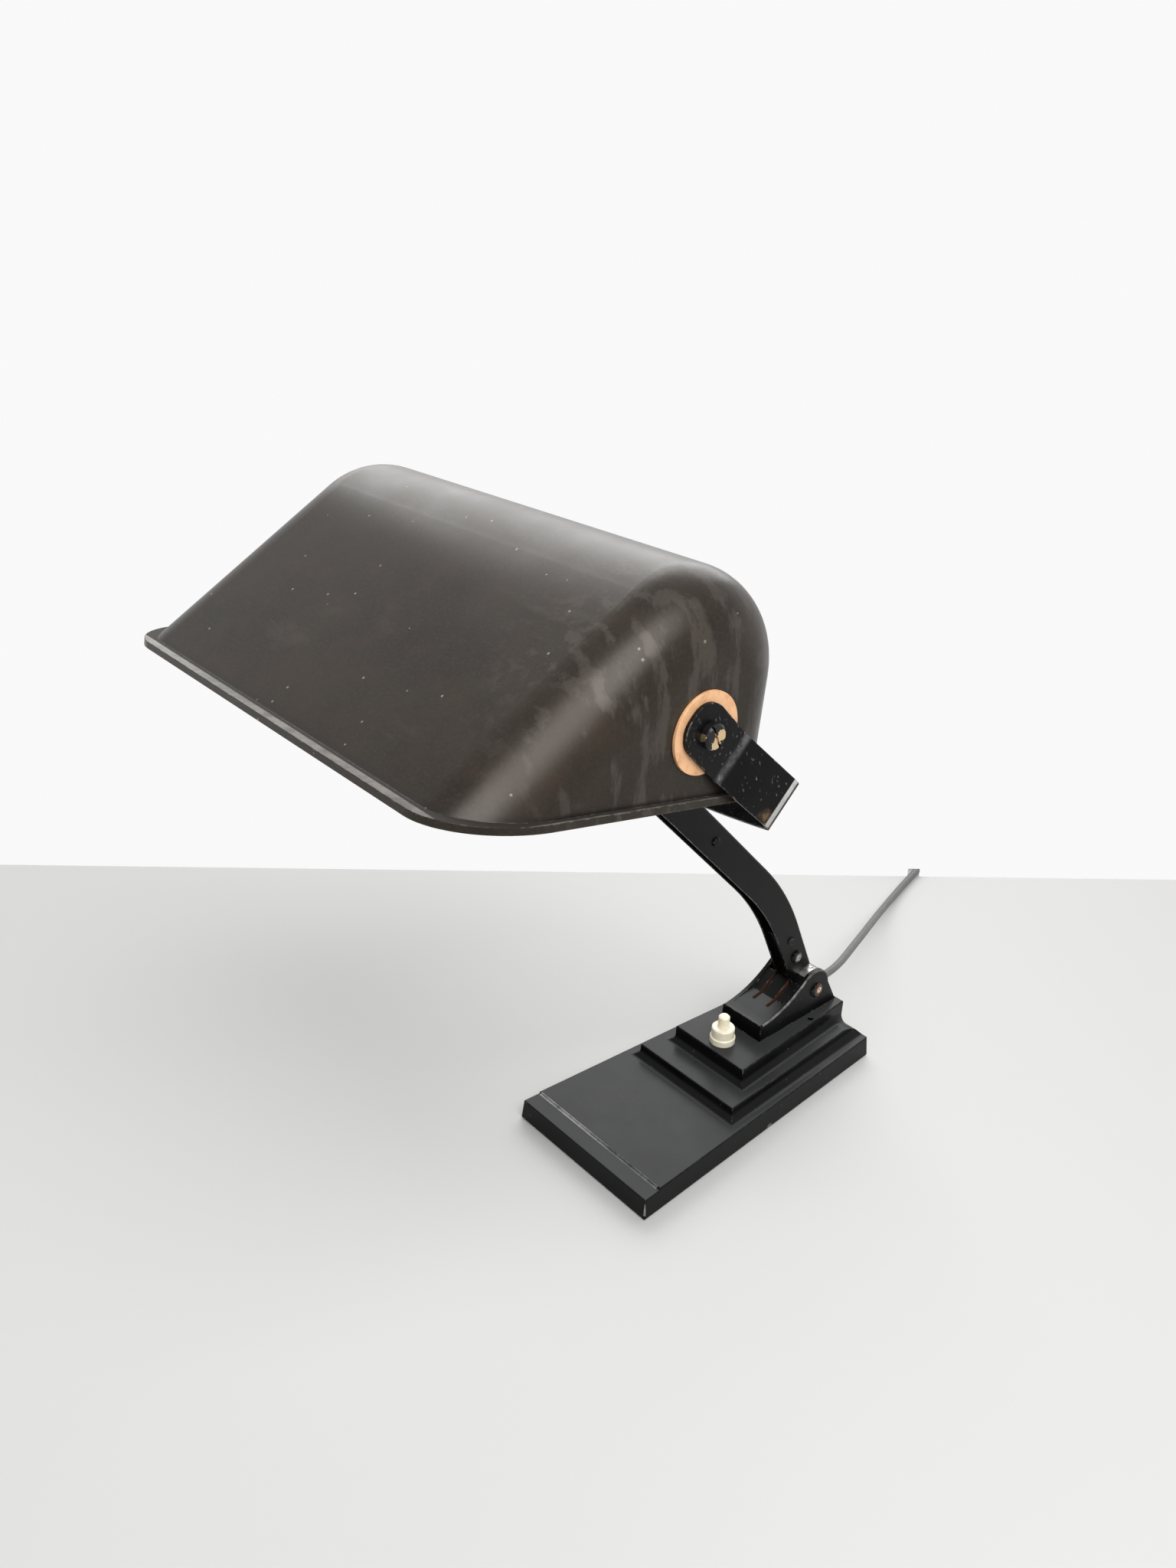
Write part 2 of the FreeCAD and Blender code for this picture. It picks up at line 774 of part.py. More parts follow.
def cover_screws():
    """Pan screws up through the cover into the bosses."""
    for end, y in (("front", front + s.boss_inset), ("back", back - s.boss_inset)):
        screw = turned(
            f"cover_screw_{end}",
            [
                (NONE, -s.cover_screw_head_height),
                (s.cover_screw_head_diameter / 2, -s.cover_screw_head_height),
                (s.cover_screw_head_diameter / 2, NONE),
                (s.cover_screw_diameter / 2, NONE),
                (s.cover_screw_diameter / 2, s.cover_screw_length),
                (NONE, s.cover_screw_length),
            ],
        )
        place(screw, y=y, z=s.felt_thickness)


# Push switch, clamped to the second step by its ring nut

switch_y = front + s.switch_inset
neck_height = s.collar_height - s.collar_roof - s.neck_top_gap


def switch_collar():
    """An ivory ring nut with two steps, roofed over but for the button's hole."""
    bore = s.neck_diameter / 2 + s.neck_clearance
    hole = s.button_diameter / 2 + s.button_clearance
    collar = turned(
        "switch_collar",
        [
            (bore, NONE),
            (s.collar_diameter / 2, NONE),
            (s.collar_diameter / 2, s.collar_foot_height - s.collar_chamfer),
            (s.collar_diameter / 2 - s.collar_chamfer, s.collar_foot_height),
            (s.collar_top_diameter / 2, s.collar_foot_height),
            (s.collar_top_diameter / 2, s.collar_height - s.collar_chamfer),
            (s.collar_top_diameter / 2 - s.collar_chamfer, s.collar_height),
            (hole, s.collar_height),
            (hole, s.collar_height - s.collar_roof),
            (bore, s.collar_height - s.collar_roof),
        ],
    )
    place(collar, y=switch_y, z=s.step_two_height)


def switch_body():
    """A moulded body under the step, with a threaded neck up through it."""
    under = -s.base_wall
    floor = under - s.switch_body_height + s.switch_floor
    bore = s.neck_bore / 2
    body = turned(
        "switch_body",
        [
            (s.button_stem_diameter / 2 + s.button_clearance, under - s.switch_body_height),
            (s.switch_body_diameter / 2, under - s.switch_body_height),
            (s.switch_body_diameter / 2, under),
            (s.neck_diameter / 2, under),
            (s.neck_diameter / 2, neck_height),
            (bore, neck_height),
            (bore, floor),
            (s.button_stem_diameter / 2 + s.button_clearance, floor),
        ],
    )
    place(body, y=switch_y, z=s.step_two_height)


flange_top = s.collar_height - s.collar_roof - s.button_clearance


def switch_button():
    """A round knob over a flange that the collar keeps in, on a stem."""
    flange_foot = flange_top - s.button_flange_height
    button = turned(
        "switch_button",
        [
            (NONE, flange_foot - s.button_stem_length),
            (s.button_stem_diameter / 2, flange_foot - s.button_stem_length),
            (s.button_stem_diameter / 2, flange_foot),
            (s.button_flange_diameter / 2, flange_foot),
            (s.button_flange_diameter / 2, flange_top),
            (s.button_diameter / 2, flange_top),
            (s.button_diameter / 2, s.button_height - s.button_dome),
            (s.button_diameter / 2 - s.button_dome, s.button_height),
            (NONE, s.button_height),
        ],
    )
    place(button, y=switch_y, z=s.step_two_height)


def switch_spring():
    """The return spring round the stem, from the body's floor to the flange."""
    wire = number("spring_wire")
    under = -number("base_wall")
    floor = under - number("switch_body_height") + number("switch_floor")
    rest = float(flange_top - s.button_flange_height)
    height = rest - floor - wire - 2 * number("button_clearance")
    middle = (number("spring_diameter") - wire) / 2
    helix = Part.makeHelix(height / number("spring_turns"), height, middle)
    start = Part.Wire(Part.makeCircle(wire / 2, Vector(middle, 0, 0), Vector(0, 1, 0)))
    spring = Part.Wire(helix.Edges).makePipeShell([start], True, True)
    up = float(s.step_two_height) + floor + wire / 2 + number("button_clearance")
    shaped("switch_spring", spring, FreeCAD.Placement(Vector(0, float(switch_y), up), Rotation()))


# Arm hinge: a knuckle on a riveted pin, with a tang inside the foot of the arm

ear_inside = s.step_three_width / 2 - s.ear_thickness
foot_turn = Rotation(Vector(1, 0, 0), number("arm_foot_angle"))
upper_turn = Rotation(Vector(1, 0, 0), number("arm_upper_angle"))


def hinge_pin():
    half = s.step_three_width / 2
    head = s.pin_head_diameter / 2
    pin = turned(
        "hinge_pin",
        [
            (NONE, -half - s.pin_head_height),
            (head - s.pin_head_height / 2, -half - s.pin_head_height),
            (head, -half - s.pin_head_height / 2),
            (head, -half),
            (s.pin_diameter / 2, -half),
            (s.pin_diameter / 2, half),
            (head, half),
            (head, half + s.pin_head_height / 2),
            (head - s.pin_head_height / 2, half + s.pin_head_height),
            (NONE, half + s.pin_head_height),
        ],
    )
    place(pin, y=s.pin_offset, z=s.pin_height, turn=TO_RIGHT)


def hinge_washers():
    gap = (s.knuckle_end_gap - s.washer_thickness) / 2
    for side, turn, x in (
        ("left", TO_LEFT, -(ear_inside - s.knuckle_end_gap + gap)),
        ("right", TO_RIGHT, ear_inside - s.knuckle_end_gap + gap),
    ):
        bore = s.pin_diameter / 2 + s.pin_clearance
        washer = turned(
            f"hinge_washer_{side}",
            [
                (bore, NONE),
                (s.washer_diameter / 2, NONE),
                (s.washer_diameter / 2, s.washer_thickness),
                (bore, s.washer_thickness),
            ],
        )
        place(washer, x=x, y=s.pin_offset, z=s.pin_height, turn=turn)


def arm_knuckle():
    """A barrel on the pin with a flat tang up inside the channel, narrow where it passes the ramp."""
    body = new_body("arm_knuckle")
    barrel = circle(body, "barrel_side", "YZ_Plane", NONE, NONE, s.knuckle_radius * 2)
    pad(body, "barrel", barrel, (ear_inside - s.knuckle_end_gap) * 2, middle=True)
    tang_back = s.arm_depth / 2 - s.arm_wall - s.tang_side_gap
    tang = outline(
        body,
        "tang_side",
        "YZ_Plane",
        [
            (-s.tang_neck_front, NONE),
            (tang_back, NONE),
            (tang_back, s.tang_length),
            (-s.tang_front, s.tang_length),
            (-s.tang_front, s.tang_neck_length + s.tang_front - s.tang_neck_front),
            (-s.tang_neck_front, s.tang_neck_length),
        ],
    )
    inner = s.arm_width - s.arm_wall * 2 - s.tang_side_gap * 2
    pad(body, "tang", tang, inner, middle=True)
    bore = circle(body, "pin_bore", "YZ_Plane", NONE, NONE, s.pin_diameter + s.pin_clearance * 2)
    pocket(body, "pin_bore_cut", bore, ear_inside * 2, middle=True)
    for name, along, wide in (
        ("screw", s.foot_screw_place, s.foot_screw_diameter),
        ("rivet", s.foot_rivet_place, s.rivet_diameter),
    ):
        hole = circle(body, f"{name}_bore", "YZ_Plane", NONE, along, wide)
        pocket(body, f"{name}_bore_cut", hole, s.arm_width, middle=True)
    place(body, y=s.pin_offset, z=s.pin_height, turn=foot_turn)


# Arm: a curved channel, open to the front, with its web at the back

up_foot = foot_turn.multVec(Vector(0, 0, 1))
up_upper = upper_turn.multVec(Vector(0, 0, 1))
back_upper = upper_turn.multVec(Vector(0, 1, 0))
back_foot = foot_turn.multVec(Vector(0, 1, 0))
pin_at = Vector(0, number("pin_offset"), number("pin_height"))
bend_at = pin_at + up_foot * number("arm_foot_run")
pivot_at = bend_at + up_upper * number("arm_upper_run") - back_upper * number("arm_offset")
yoke_outside = number("yoke_reach") + number("yoke_thickness") / 2
arm_end = yoke_outside + number("head_plate_thickness")


def arm_line(offset, extra=0.0):
    """The arm's centre line moved back by offset: straight, bent and straight again."""
    half_turn = math.radians(number("arm_upper_angle") - number("arm_foot_angle")) / 2
    tangent = number("arm_bend_radius") * math.tan(half_turn)
    foot = pin_at + back_foot * offset
    bend_start = bend_at - up_foot * tangent + back_foot * offset
    bend_end = bend_at + up_upper * tangent + back_upper * offset
    top = bend_at + up_upper * (number("arm_upper_run") - arm_end + extra) + back_upper * offset
    centre = bend_at - up_foot * tangent - back_foot * number("arm_bend_radius")
    outward = (back_foot + back_upper).normalize()
    middle = centre + outward * (number("arm_bend_radius") + offset)
    return [
        Part.LineSegment(foot, bend_start).toShape(),
        Part.Arc(bend_start, middle, bend_end).toShape(),
        Part.LineSegment(bend_end, top).toShape(),
    ]


def arm_band(front_offset, back_offset, extra=0.0):
    front_edges = arm_line(front_offset, extra)
    back_edges = arm_line(back_offset, extra)
    foot = Part.LineSegment(front_edges[0].Vertexes[0].Point, back_edges[0].Vertexes[0].Point)
    top = Part.LineSegment(front_edges[2].Vertexes[1].Point, back_edges[2].Vertexes[1].Point)
    edges = front_edges + back_edges + [foot.toShape(), top.toShape()]
    return Part.Face(Part.Wire(Part.__sortEdges__(edges)))


def wide(face, width):
    """A flat side face as a solid of that width, over the middle plane."""
    moved = face.copy()
    moved.translate(Vector(-width / 2, 0, 0))
    return moved.extrude(Vector(width, 0, 0))


def cross_hole(centre, diameter, length):
    return Part.makeCylinder(diameter / 2, length, centre - Vector(length / 2, 0, 0), Vector(1, 0, 0))


foot_screw_at = pin_at + up_foot * number("foot_screw_place")
foot_rivet_at = pin_at + up_foot * number("foot_rivet_place")
keeper_at = pivot_at - up_upper * number("keeper_place") + back_upper * number("arm_offset")
head_rivet_at = (
    pivot_at
    - up_upper * (arm_end + number("head_length") / 2)
    + back_upper * number("arm_offset")
)


def arm_channel():
    depth = number("arm_depth")
    wall = number("arm_wall")
    width = number("arm_width")
    outer = wide(arm_band(-depth / 2, depth / 2), width)

    def is_back_corner(edge):
        point = edge.valueAt((edge.FirstParameter + edge.LastParameter) / 2)
        along = edge.tangentAt((edge.FirstParameter + edge.LastParameter) / 2)
        return abs(along.x) < TOLERANCE and near(abs(point.x), width / 2) and on_back(point)

    def on_back(point):
        flat = Vector(0, point.y, point.z)
        return min(e.distToShape(Part.Vertex(flat))[0] for e in arm_line(depth / 2)) < TOLERANCE

    corners = [edge for edge in outer.Edges if is_back_corner(edge) and edge.Length > depth * 1.5]
    outer = outer.makeFillet(number("arm_corner_round"), corners)
    inner = wide(arm_band(-depth, depth / 2 - wall, number("overrun")), width - 2 * wall)
    foot = Part.makeCylinder(
        number("foot_cut_radius"), width * 2, pin_at - Vector(width, 0, 0), Vector(1, 0, 0)
    )
    foot_block = Part.makeCylinder(
        number("foot_cut_radius"), width * 2, pin_at - up_foot * wall - Vector(width, 0, 0), Vector(1, 0, 0)
    )
    channel = outer.cut([inner, foot, foot_block])
    for centre, word in (
        (foot_screw_at, "foot_screw_diameter"),
        (foot_rivet_at, "rivet_diameter"),
        (keeper_at, "rivet_diameter"),
        (head_rivet_at, "rivet_diameter"),
    ):
        channel = channel.cut(cross_hole(centre, number(word), width * 2))
    shaped("arm_channel", channel)


def cross_fastener(label, centre, shank, head, head_height, head_round):
    """A screw or rivet right through the channel, with a rounded head at each side."""
    half = s.arm_width / 2
    made = turned(
        label,
        [
            (NONE, -half - head_height),
            (head / 2 - head_round, -half - head_height),
            (head / 2, -half - head_height + head_round),
            (head / 2, -half),
            (shank / 2, -half),
            (shank / 2, half),
            (head / 2, half),
            (head / 2, half + head_height - head_round),
            (head / 2 - head_round, half + head_height),
            (NONE, half + head_height),
        ],
    )
    made.Placement = FreeCAD.Placement(centre, TO_RIGHT)


def arm_fasteners():
    rivet = (s.rivet_diameter, s.rivet_head_diameter, s.rivet_head_height, s.rivet_head_height / 2)
    cross_fastener(
        "foot_screw",
        foot_screw_at,
        s.foot_screw_diameter,
        s.foot_screw_head_diameter,
        s.foot_screw_head_height,
        s.foot_screw_head_height / 2,
    )
    cross_fastener("foot_rivet", foot_rivet_at, *rivet)
    cross_fastener("keeper_rivet", keeper_at, *rivet)
    cross_fastener("head_rivet", head_rivet_at, *rivet)


upper_place = FreeCAD.Placement(pivot_at, upper_turn)
yoke_inside = number("yoke_reach") - number("yoke_thickness") / 2


def head_screw_at(side):
    """Where a head screw's head bears on the yoke, in the arm's upper axes."""
    bow_rise = number("head_screw_head_diameter") ** 2 / (8 * number("yoke_bow_radius"))
    return Vector(0, number("arm_offset") + side * number("head_screw_spread"), bow_rise - yoke_inside)


def head_screw_hole(side):
    radius = number("head_screw_diameter") / 2
    length = number("head_screw_length")
    return Part.makeCylinder(radius, 2 * length, head_screw_at(side) - Vector(0, 0, length))


def arm_head():
    """A block in the top of the channel, with an end plate that bears on the yoke."""
    gap = number("tang_side_gap")
    inner_width = number("arm_width") - 2 * number("arm_wall") - 2 * gap
    offset = number("arm_offset")
    depth = number("arm_depth")
    low = -arm_end - number("head_length")
    back_face = offset + depth / 2 - number("arm_wall") - gap
    front_face = offset - depth / 2
    block = Part.makeBox(
        inner_width,
        back_face - front_face,
        number("head_length"),
        Vector(-inner_width / 2, front_face, low),
    )
    plate = Part.makeBox(
        number("arm_width"),
        number("head_plate_height"),
        number("head_plate_thickness"),
        Vector(-number("arm_width") / 2, offset - number("head_plate_height") / 2, -arm_end),
    )
    head = block.fuse(plate).removeSplitter()
    head = head.cut([head_screw_hole(side) for side in (-1, 1)])
    rivet_at = Vector(0, offset, low + number("head_length") / 2)
    head = head.cut(cross_hole(rivet_at, number("rivet_diameter"), inner_width * 2))
    shaped("arm_head", head, upper_place)


def head_screws():
    """Two screws through the yoke into the arm's head, one above the other."""
    for name, side in (("lower", -1), ("upper", 1)):
        screw = turned(
            f"head_screw_{name}",
            [
                (NONE, -s.head_screw_length),
                (s.head_screw_diameter / 2, -s.head_screw_length),
                (s.head_screw_diameter / 2, NONE),
                (s.head_screw_head_diameter / 2, NONE),
                (s.head_screw_head_diameter / 2, s.head_screw_head_height / 2),
                (s.head_screw_head_diameter / 2 - s.head_screw_head_height / 2, s.head_screw_head_height),
                (NONE, s.head_screw_head_height),
            ],
        )
        screw.Placement = FreeCAD.Placement(upper_place.multVec(head_screw_at(side)), upper_turn)


# Yoke: one steel strip, bowed behind the shade and folded forward to its two pivots

shade_end = number("shade_length") / 2
strap_inside = shade_end + number("ring_thickness") + number("ring_gap")
strap_middle = strap_inside + number("yoke_thickness") / 2


def yoke_line(offset):
    """One half of the strip's middle line, moved inward by offset: pivot end, crease, fold and bow."""
    crease = number("yoke_crease_place")
    half_span = strap_middle + number("yoke_flare")
    radius = number("yoke_bow_radius")
    fold_drop = number("yoke_reach") - radius + math.sqrt(radius**2 - half_span**2)
    slope = math.atan2(half_span - strap_middle, fold_drop - crease)
    first = Vector(strap_middle - offset, 0, number("yoke_end_reach"))
    second = Vector(strap_middle - offset, 0, -crease - offset * math.tan(slope / 2))
    inner_radius = radius - offset
    normal = Vector(-math.cos(slope), 0, -math.sin(slope))
    along = Vector(math.sin(slope), 0, -math.cos(slope))
    start = Vector(strap_middle, 0, -crease) + normal * offset
    centre = Vector(0, 0, -number("yoke_reach") + radius)
    from_centre = start - centre
    inward = from_centre.dot(along)
    run = -inward + math.sqrt(inward**2 - from_centre.dot(from_centre) + inner_radius**2)
    third = start + along * run
    return first, second, third, Vector(0, 0, centre.z - inner_radius)


def yoke_half_face(offset_out, offset_in):
    """The strip's edge from the middle of the bow to the pivot end, on the right."""
    first, second, third, last = yoke_line(offset_out)
    inner_first, inner_second, inner_third, inner_last = yoke_line(offset_in)
    centre = Vector(0, 0, -number("yoke_reach") + number("yoke_bow_radius"))

    def bow(end, start):
        middle = (end + start) * 0.5 - centre
        middle = centre + middle.normalize() * (end - centre).Length
        return Part.Arc(end, middle, start).toShape()

    edges = [
        Part.LineSegment(first, second).toShape(),
        Part.LineSegment(second, third).toShape(),
        bow(third, last),
        Part.LineSegment(last, inner_last).toShape(),
        bow(inner_third, inner_last),
        Part.LineSegment(inner_second, inner_third).toShape(),
        Part.LineSegment(inner_first, inner_second).toShape(),
        Part.LineSegment(first, inner_first).toShape(),
    ]
    return Part.Face(Part.Wire(Part.__sortEdges__(edges)))


def yoke():
    half = number("yoke_thickness") / 2
    width = number("yoke_width")
    face = yoke_half_face(-half, half)
    solid = face.extrude(Vector(0, width, 0))
    solid.translate(Vector(0, -width / 2, 0))

    def corner_edges(shape, points):
        """The edges along the strip's width through the given corners."""
        found = []
        for edge in shape.Edges:
            middle = edge.CenterOfMass
            flat = Vector(middle.x, 0, middle.z)
            straight = near(edge.Length, width)
            if straight and any((flat - Vector(p.x, 0, p.z)).Length < TOLERANCE for p in points):
                found.append(edge)
        return found

    outside = yoke_line(-half)
    inside = yoke_line(half)
    fold = number("yoke_fold_radius")
    crease = number("yoke_crease_radius")
    solid = solid.makeFillet(fold + half, corner_edges(solid, [outside[2]]))
    solid = solid.makeFillet(fold - half, corner_edges(solid, [inside[2]]))
    solid = solid.makeFillet(crease - half, corner_edges(solid, [outside[1]]))
    solid = solid.makeFillet(crease + half, corner_edges(solid, [inside[1]]))
    tips = [
        edge
        for edge in solid.Edges
        if near(edge.Length, 2 * half) and near(edge.CenterOfMass.z, number("yoke_end_reach"))
    ]
    solid = solid.makeFillet(number("yoke_end_round"), tips)
    other = solid.mirror(Vector(0, 0, 0), Vector(1, 0, 0))
    strip = solid.fuse(other).removeSplitter()
    x = strap_inside - number("overrun")
    long = strap_middle
    bore = number("pivot_diameter") / 2 + number("pivot_clearance")
    strip = strip.cut(Part.makeCylinder(bore, long, Vector(x, 0, 0), Vector(1, 0, 0)))
    bore = number("nipple_diameter") / 2 + number("pivot_clearance")
    strip = strip.cut(Part.makeCylinder(bore, long, Vector(-x, 0, 0), Vector(-1, 0, 0)))
    strip = strip.cut([head_screw_hole(side) for side in (-1, 1)])
    shaped("yoke", strip, upper_place)


# Shade: a long moulding with one steep back wall, one sloping front wall and rounded ends

shade_turn = Rotation(Vector(1, 0, 0), -number("shade_tilt"))
shade_place = FreeCAD.Placement(pivot_at, shade_turn)


def shade_side(inset):
    """The moulding's cross-section set in by inset: front slope, round top, back slope and rim."""
    front_slope = math.radians(number("shade_front_angle"))
    back_slope = math.radians(number("shade_back_angle"))
    half = number("shade_depth") / 2
    radius = number("shade_top_radius")
    front_in = Vector(0, math.cos(front_slope), -math.sin(front_slope))
    back_in = Vector(0, -math.cos(back_slope), -math.sin(back_slope))
    front_up = Vector(0, math.sin(front_slope), math.cos(front_slope))
    back_up = Vector(0, -math.sin(back_slope), math.cos(back_slope))
    rim_front = Vector(0, -half, 0)
    rim_back = Vector(0, half, 0)
    # The top's centre lies a radius inside both slopes.
    front_reach = front_in.dot(rim_front) + radius
    back_reach = back_in.dot(rim_back) + radius
    spread = front_in.y * back_in.z - front_in.z * back_in.y
    centre = Vector(
        0,
        (front_reach * back_in.z - back_reach * front_in.z) / spread,
        (back_reach * front_in.y - front_reach * back_in.y) / spread,
    )
    shift = Vector(0, -number("pivot_depth"), -number("pivot_height"))
    small = radius - inset
    start = rim_front + front_in * inset
    start = start - front_up * (start.z / front_up.z)
    end = rim_back + back_in * inset
    end = end - back_up * (end.z / back_up.z)
    top_start = centre - front_in * small
    top_end = centre - back_in * small
    top_middle = centre - (front_in + back_in).normalize() * small
    points = [p + shift for p in (start, top_start, top_middle, top_end, end)]
    edges = [
        Part.LineSegment(points[0], points[1]).toShape(),
        Part.Arc(points[1], points[2], points[3]).toShape(),
        Part.LineSegment(points[3], points[4]).toShape(),
        Part.LineSegment(points[4], points[0]).toShape(),
    ]
    return Part.Face(Part.Wire(edges))


def shade_block(inset):
    """The section as a solid, its two ends rounded over."""
    solid = wide(shade_side(inset), number("shade_length") - 2 * inset)
    half = number("shade_length") / 2 - inset
    rim = -number("pivot_height")
    edges = [
        edge
        for edge in solid.Edges
        if near(edge.BoundBox.XMin, edge.BoundBox.XMax)
        and near(abs(edge.BoundBox.XMin), half)
        and not level(edge, rim)
    ]
    return solid.makeFillet(number("shade_end_radius") - inset, edges)


def rim_outline(grow):
    """The rim's outline: a rectangle with a quarter of an ellipse at each corner, grown outward."""
    half = number("shade_length") / 2 + grow
    across = number("shade_end_radius") + grow
    middle = -number("pivot_depth")
    reach = number("shade_depth") / 2 + grow
    level_z = -number("pivot_height")
    front_deep = number("shade_end_radius") / math.cos(math.radians(number("shade_front_angle"))) + grow
    back_deep = number("shade_end_radius") / math.cos(math.radians(number("shade_back_angle"))) + grow
    front_y = middle - reach
    back_y = middle + reach

    def corner(side_x, edge_y, deep):
        """A quarter ellipse as a curve, and its ends on the side and on the front or back."""
        centre = Vector(side_x * (half - across), edge_y - math.copysign(deep, edge_y - middle), level_z)
        ellipse = Part.Ellipse(centre, max(across, deep), min(across, deep))
        ellipse.XAxis = Vector(0, 1, 0) if deep > across else Vector(1, 0, 0)
        on_side = Vector(side_x * half, centre.y, level_z)
        on_edge = Vector(centre.x, edge_y, level_z)
        start, end = sorted((ellipse.parameter(on_side), ellipse.parameter(on_edge)))
        if end - start > math.pi:
            start, end = end, start + 2 * math.pi
        return ellipse.toShape(start, end), on_side, on_edge

    ends = ((front_y, front_deep), (back_y, back_deep))
    corners = [corner(x, y, deep) for y, deep in ends for x in (-1, 1)]
    front_left, front_right, back_left, back_right = corners
    straights = [
        Part.LineSegment(front_left[2], front_right[2]).toShape(),
        Part.LineSegment(back_left[2], back_right[2]).toShape(),
        Part.LineSegment(front_left[1], back_left[1]).toShape(),
        Part.LineSegment(front_right[1], back_right[1]).toShape(),
    ]
    return Part.Face(Part.Wire(Part.__sortEdges__([c[0] for c in corners] + straights)))


def shade():
    outer = shade_block(0.0)
    inner = shade_block(number("shade_wall"))
    rim = -number("pivot_height")
    lip = rim_outline(number("shade_lip_width")).extrude(Vector(0, 0, number("shade_lip_height")))
    mouth = next(face for face in inner.Faces if level(face, rim))
    mouth_block = Part.Face(mouth.OuterWire).extrude(Vector(0, 0, -number("overrun")))
    moulding = outer.fuse(lip).removeSplitter().cut([inner, mouth_block])
    for x, word in ((1, "pivot_diameter"), (-1, "nipple_diameter")):
        bore = number(word) / 2 + number("pivot_clearance")
        middle = Vector(x * (shade_end - number("overrun")), 0, 0)
        moulding = moulding.cut(Part.makeCylinder(bore, number("overrun") * 2, middle, Vector(x, 0, 0)))
    shaped("shade", moulding, shade_place)


# Shade pivots: a screw at the right, a hollow nipple at the left that carries the lampholder

pivot_x = s.shade_length / 2


def on_pivot(body, side, distance):
    """Places a turned piece on the shade's pivot line, its own +Z pointing outward."""
    turn = TO_RIGHT if side > 0 else TO_LEFT
    body.Placement = FreeCAD.Placement(Vector(side * float(distance), pivot_at.y, pivot_at.z), turn)


def ring(label, outer, bore, thickness, side, distance):
    washer = turned(
        label,
        [(bore, NONE), (outer, NONE), (outer, thickness), (bore, thickness)],
    )
    on_pivot(washer, side, distance)


def pivot_rings():
    for name, side, wide_shank in (("right", 1, s.pivot_diameter), ("left", -1, s.nipple_diameter)):
        bore = wide_shank / 2 + s.pivot_clearance
        ring(f"ring_washer_{name}", s.ring_diameter / 2, bore, s.ring_thickness, side, pivot_x)
        inside = pivot_x - s.shade_wall - s.inner_washer_thickness
        ring(
            f"inner_washer_{name}",
            s.inner_washer_diameter / 2,
            bore,
            s.inner_washer_thickness,
            side,
            inside,
        )


strap_out = s.ring_thickness + s.ring_gap + s.yoke_thickness
nut_top = -(s.shade_wall + s.inner_washer_thickness + s.ring_gap)


def head_corners(shank_radius, foot, head_diameter, bore=NONE):
    """The outside of a round-headed pivot piece: head, then shank down to foot."""
    head = head_diameter / 2
    return [
        (bore, foot),
        (shank_radius, foot),
        (shank_radius, strap_out),
        (head, strap_out),
        (head, strap_out + s.pivot_head_height - s.pivot_head_round),
        (head - s.pivot_head_round, strap_out + s.pivot_head_height),
        (bore, strap_out + s.pivot_head_height),
    ]


def pivot_screw():
    foot = nut_top - s.nut_height
    screw = turned("pivot_screw", head_corners(s.pivot_diameter / 2, foot, s.pivot_head_diameter))
    slot = outline(
        screw,
        "driver_slot",
        "XY_Plane",
        [
            (-s.pivot_slot_width / 2, -s.pivot_head_diameter),
            (s.pivot_slot_width / 2, -s.pivot_head_diameter),
            (s.pivot_slot_width / 2, s.pivot_head_diameter),
            (-s.pivot_slot_width / 2, s.pivot_head_diameter),
        ],
    )
    height = strap_out + s.pivot_head_height - s.pivot_slot_depth
    turn = Rotation(Vector(0, 0, 1), number("pivot_slot_angle"))
    slot.AttachmentOffset = FreeCAD.Placement(Vector(0, 0, float(height)), turn)
    slot.setExpression("AttachmentOffset.Base.z", height.text)
    pocket(screw, "driver_slot_cut", slot, s.overrun, backwards=True)
    on_pivot(screw, 1, pivot_x)


def pivot_nut():
    """A six-sided nut on the screw, inside the shade."""
    body = new_body("pivot_nut")
    side = s.nut_diameter / 2
    corners = []
    for corner in range(NUT_SIDES):
        turn = 2 * math.pi * corner / NUT_SIDES
        corners.append((side * round(math.cos(turn), 6), side * round(math.sin(turn), 6)))
    pad(body, "nut_six", outline(body, "nut_plan", "XY_Plane", corners), s.nut_height)
    bore = circle(body, "nut_bore", "XY_Plane", NONE, NONE, s.pivot_diameter)
    pocket(body, "nut_hole", bore, s.nut_height, backwards=True)
    on_pivot(body, 1, pivot_x + nut_top - s.nut_height)


def pivot_nipple():
    nipple = turned(
        "pivot_nipple",
        head_corners(
            s.nipple_diameter / 2,
            nut_top - s.holder_cap_length / 2,
            s.nipple_head_diameter,
            s.nipple_bore / 2,
        ),
    )
    on_pivot(nipple, -1, pivot_x)


# Lampholder and bulb, along the shade's pivot line from its left end

cap_face = pivot_x + nut_top


def holder_cap():
    """The holder's domed end, screwed on the nipple."""
    bore = s.nipple_diameter / 2
    outer = s.holder_cap_diameter / 2
    cap = turned(
        "holder_cap",
        [
            (bore, NONE),
            (outer - s.holder_cap_face_inset, NONE),
            (outer - s.holder_cap_shoulder_inset, -s.holder_cap_shoulder_drop),
            (outer, -s.holder_cap_side_drop),
            (outer, -s.holder_cap_length),
            (outer - s.holder_wall, -s.holder_cap_length),
            (outer - s.holder_wall, -s.holder_cap_room_drop),
            (bore, -s.holder_cap_room_drop),
        ],
    )
    on_pivot(cap, -1, cap_face)


def holder_shell():
    """The plain skirt, with a shoulder that laps over the cap."""
    top = -s.holder_cap_length
    outer = s.holder_shell_diameter / 2
    inner = outer - s.holder_wall
    lap = s.holder_cap_diameter / 2 + s.neck_clearance
    shell = turned(
        "holder_shell",
        [
            (lap, top + s.holder_wall),
            (outer, top + s.holder_wall),
            (outer, top - s.holder_shell_length),
            (inner, top - s.holder_shell_length),
            (inner, top),
            (lap, top),
        ],
    )
    on_pivot(shell, -1, cap_face)


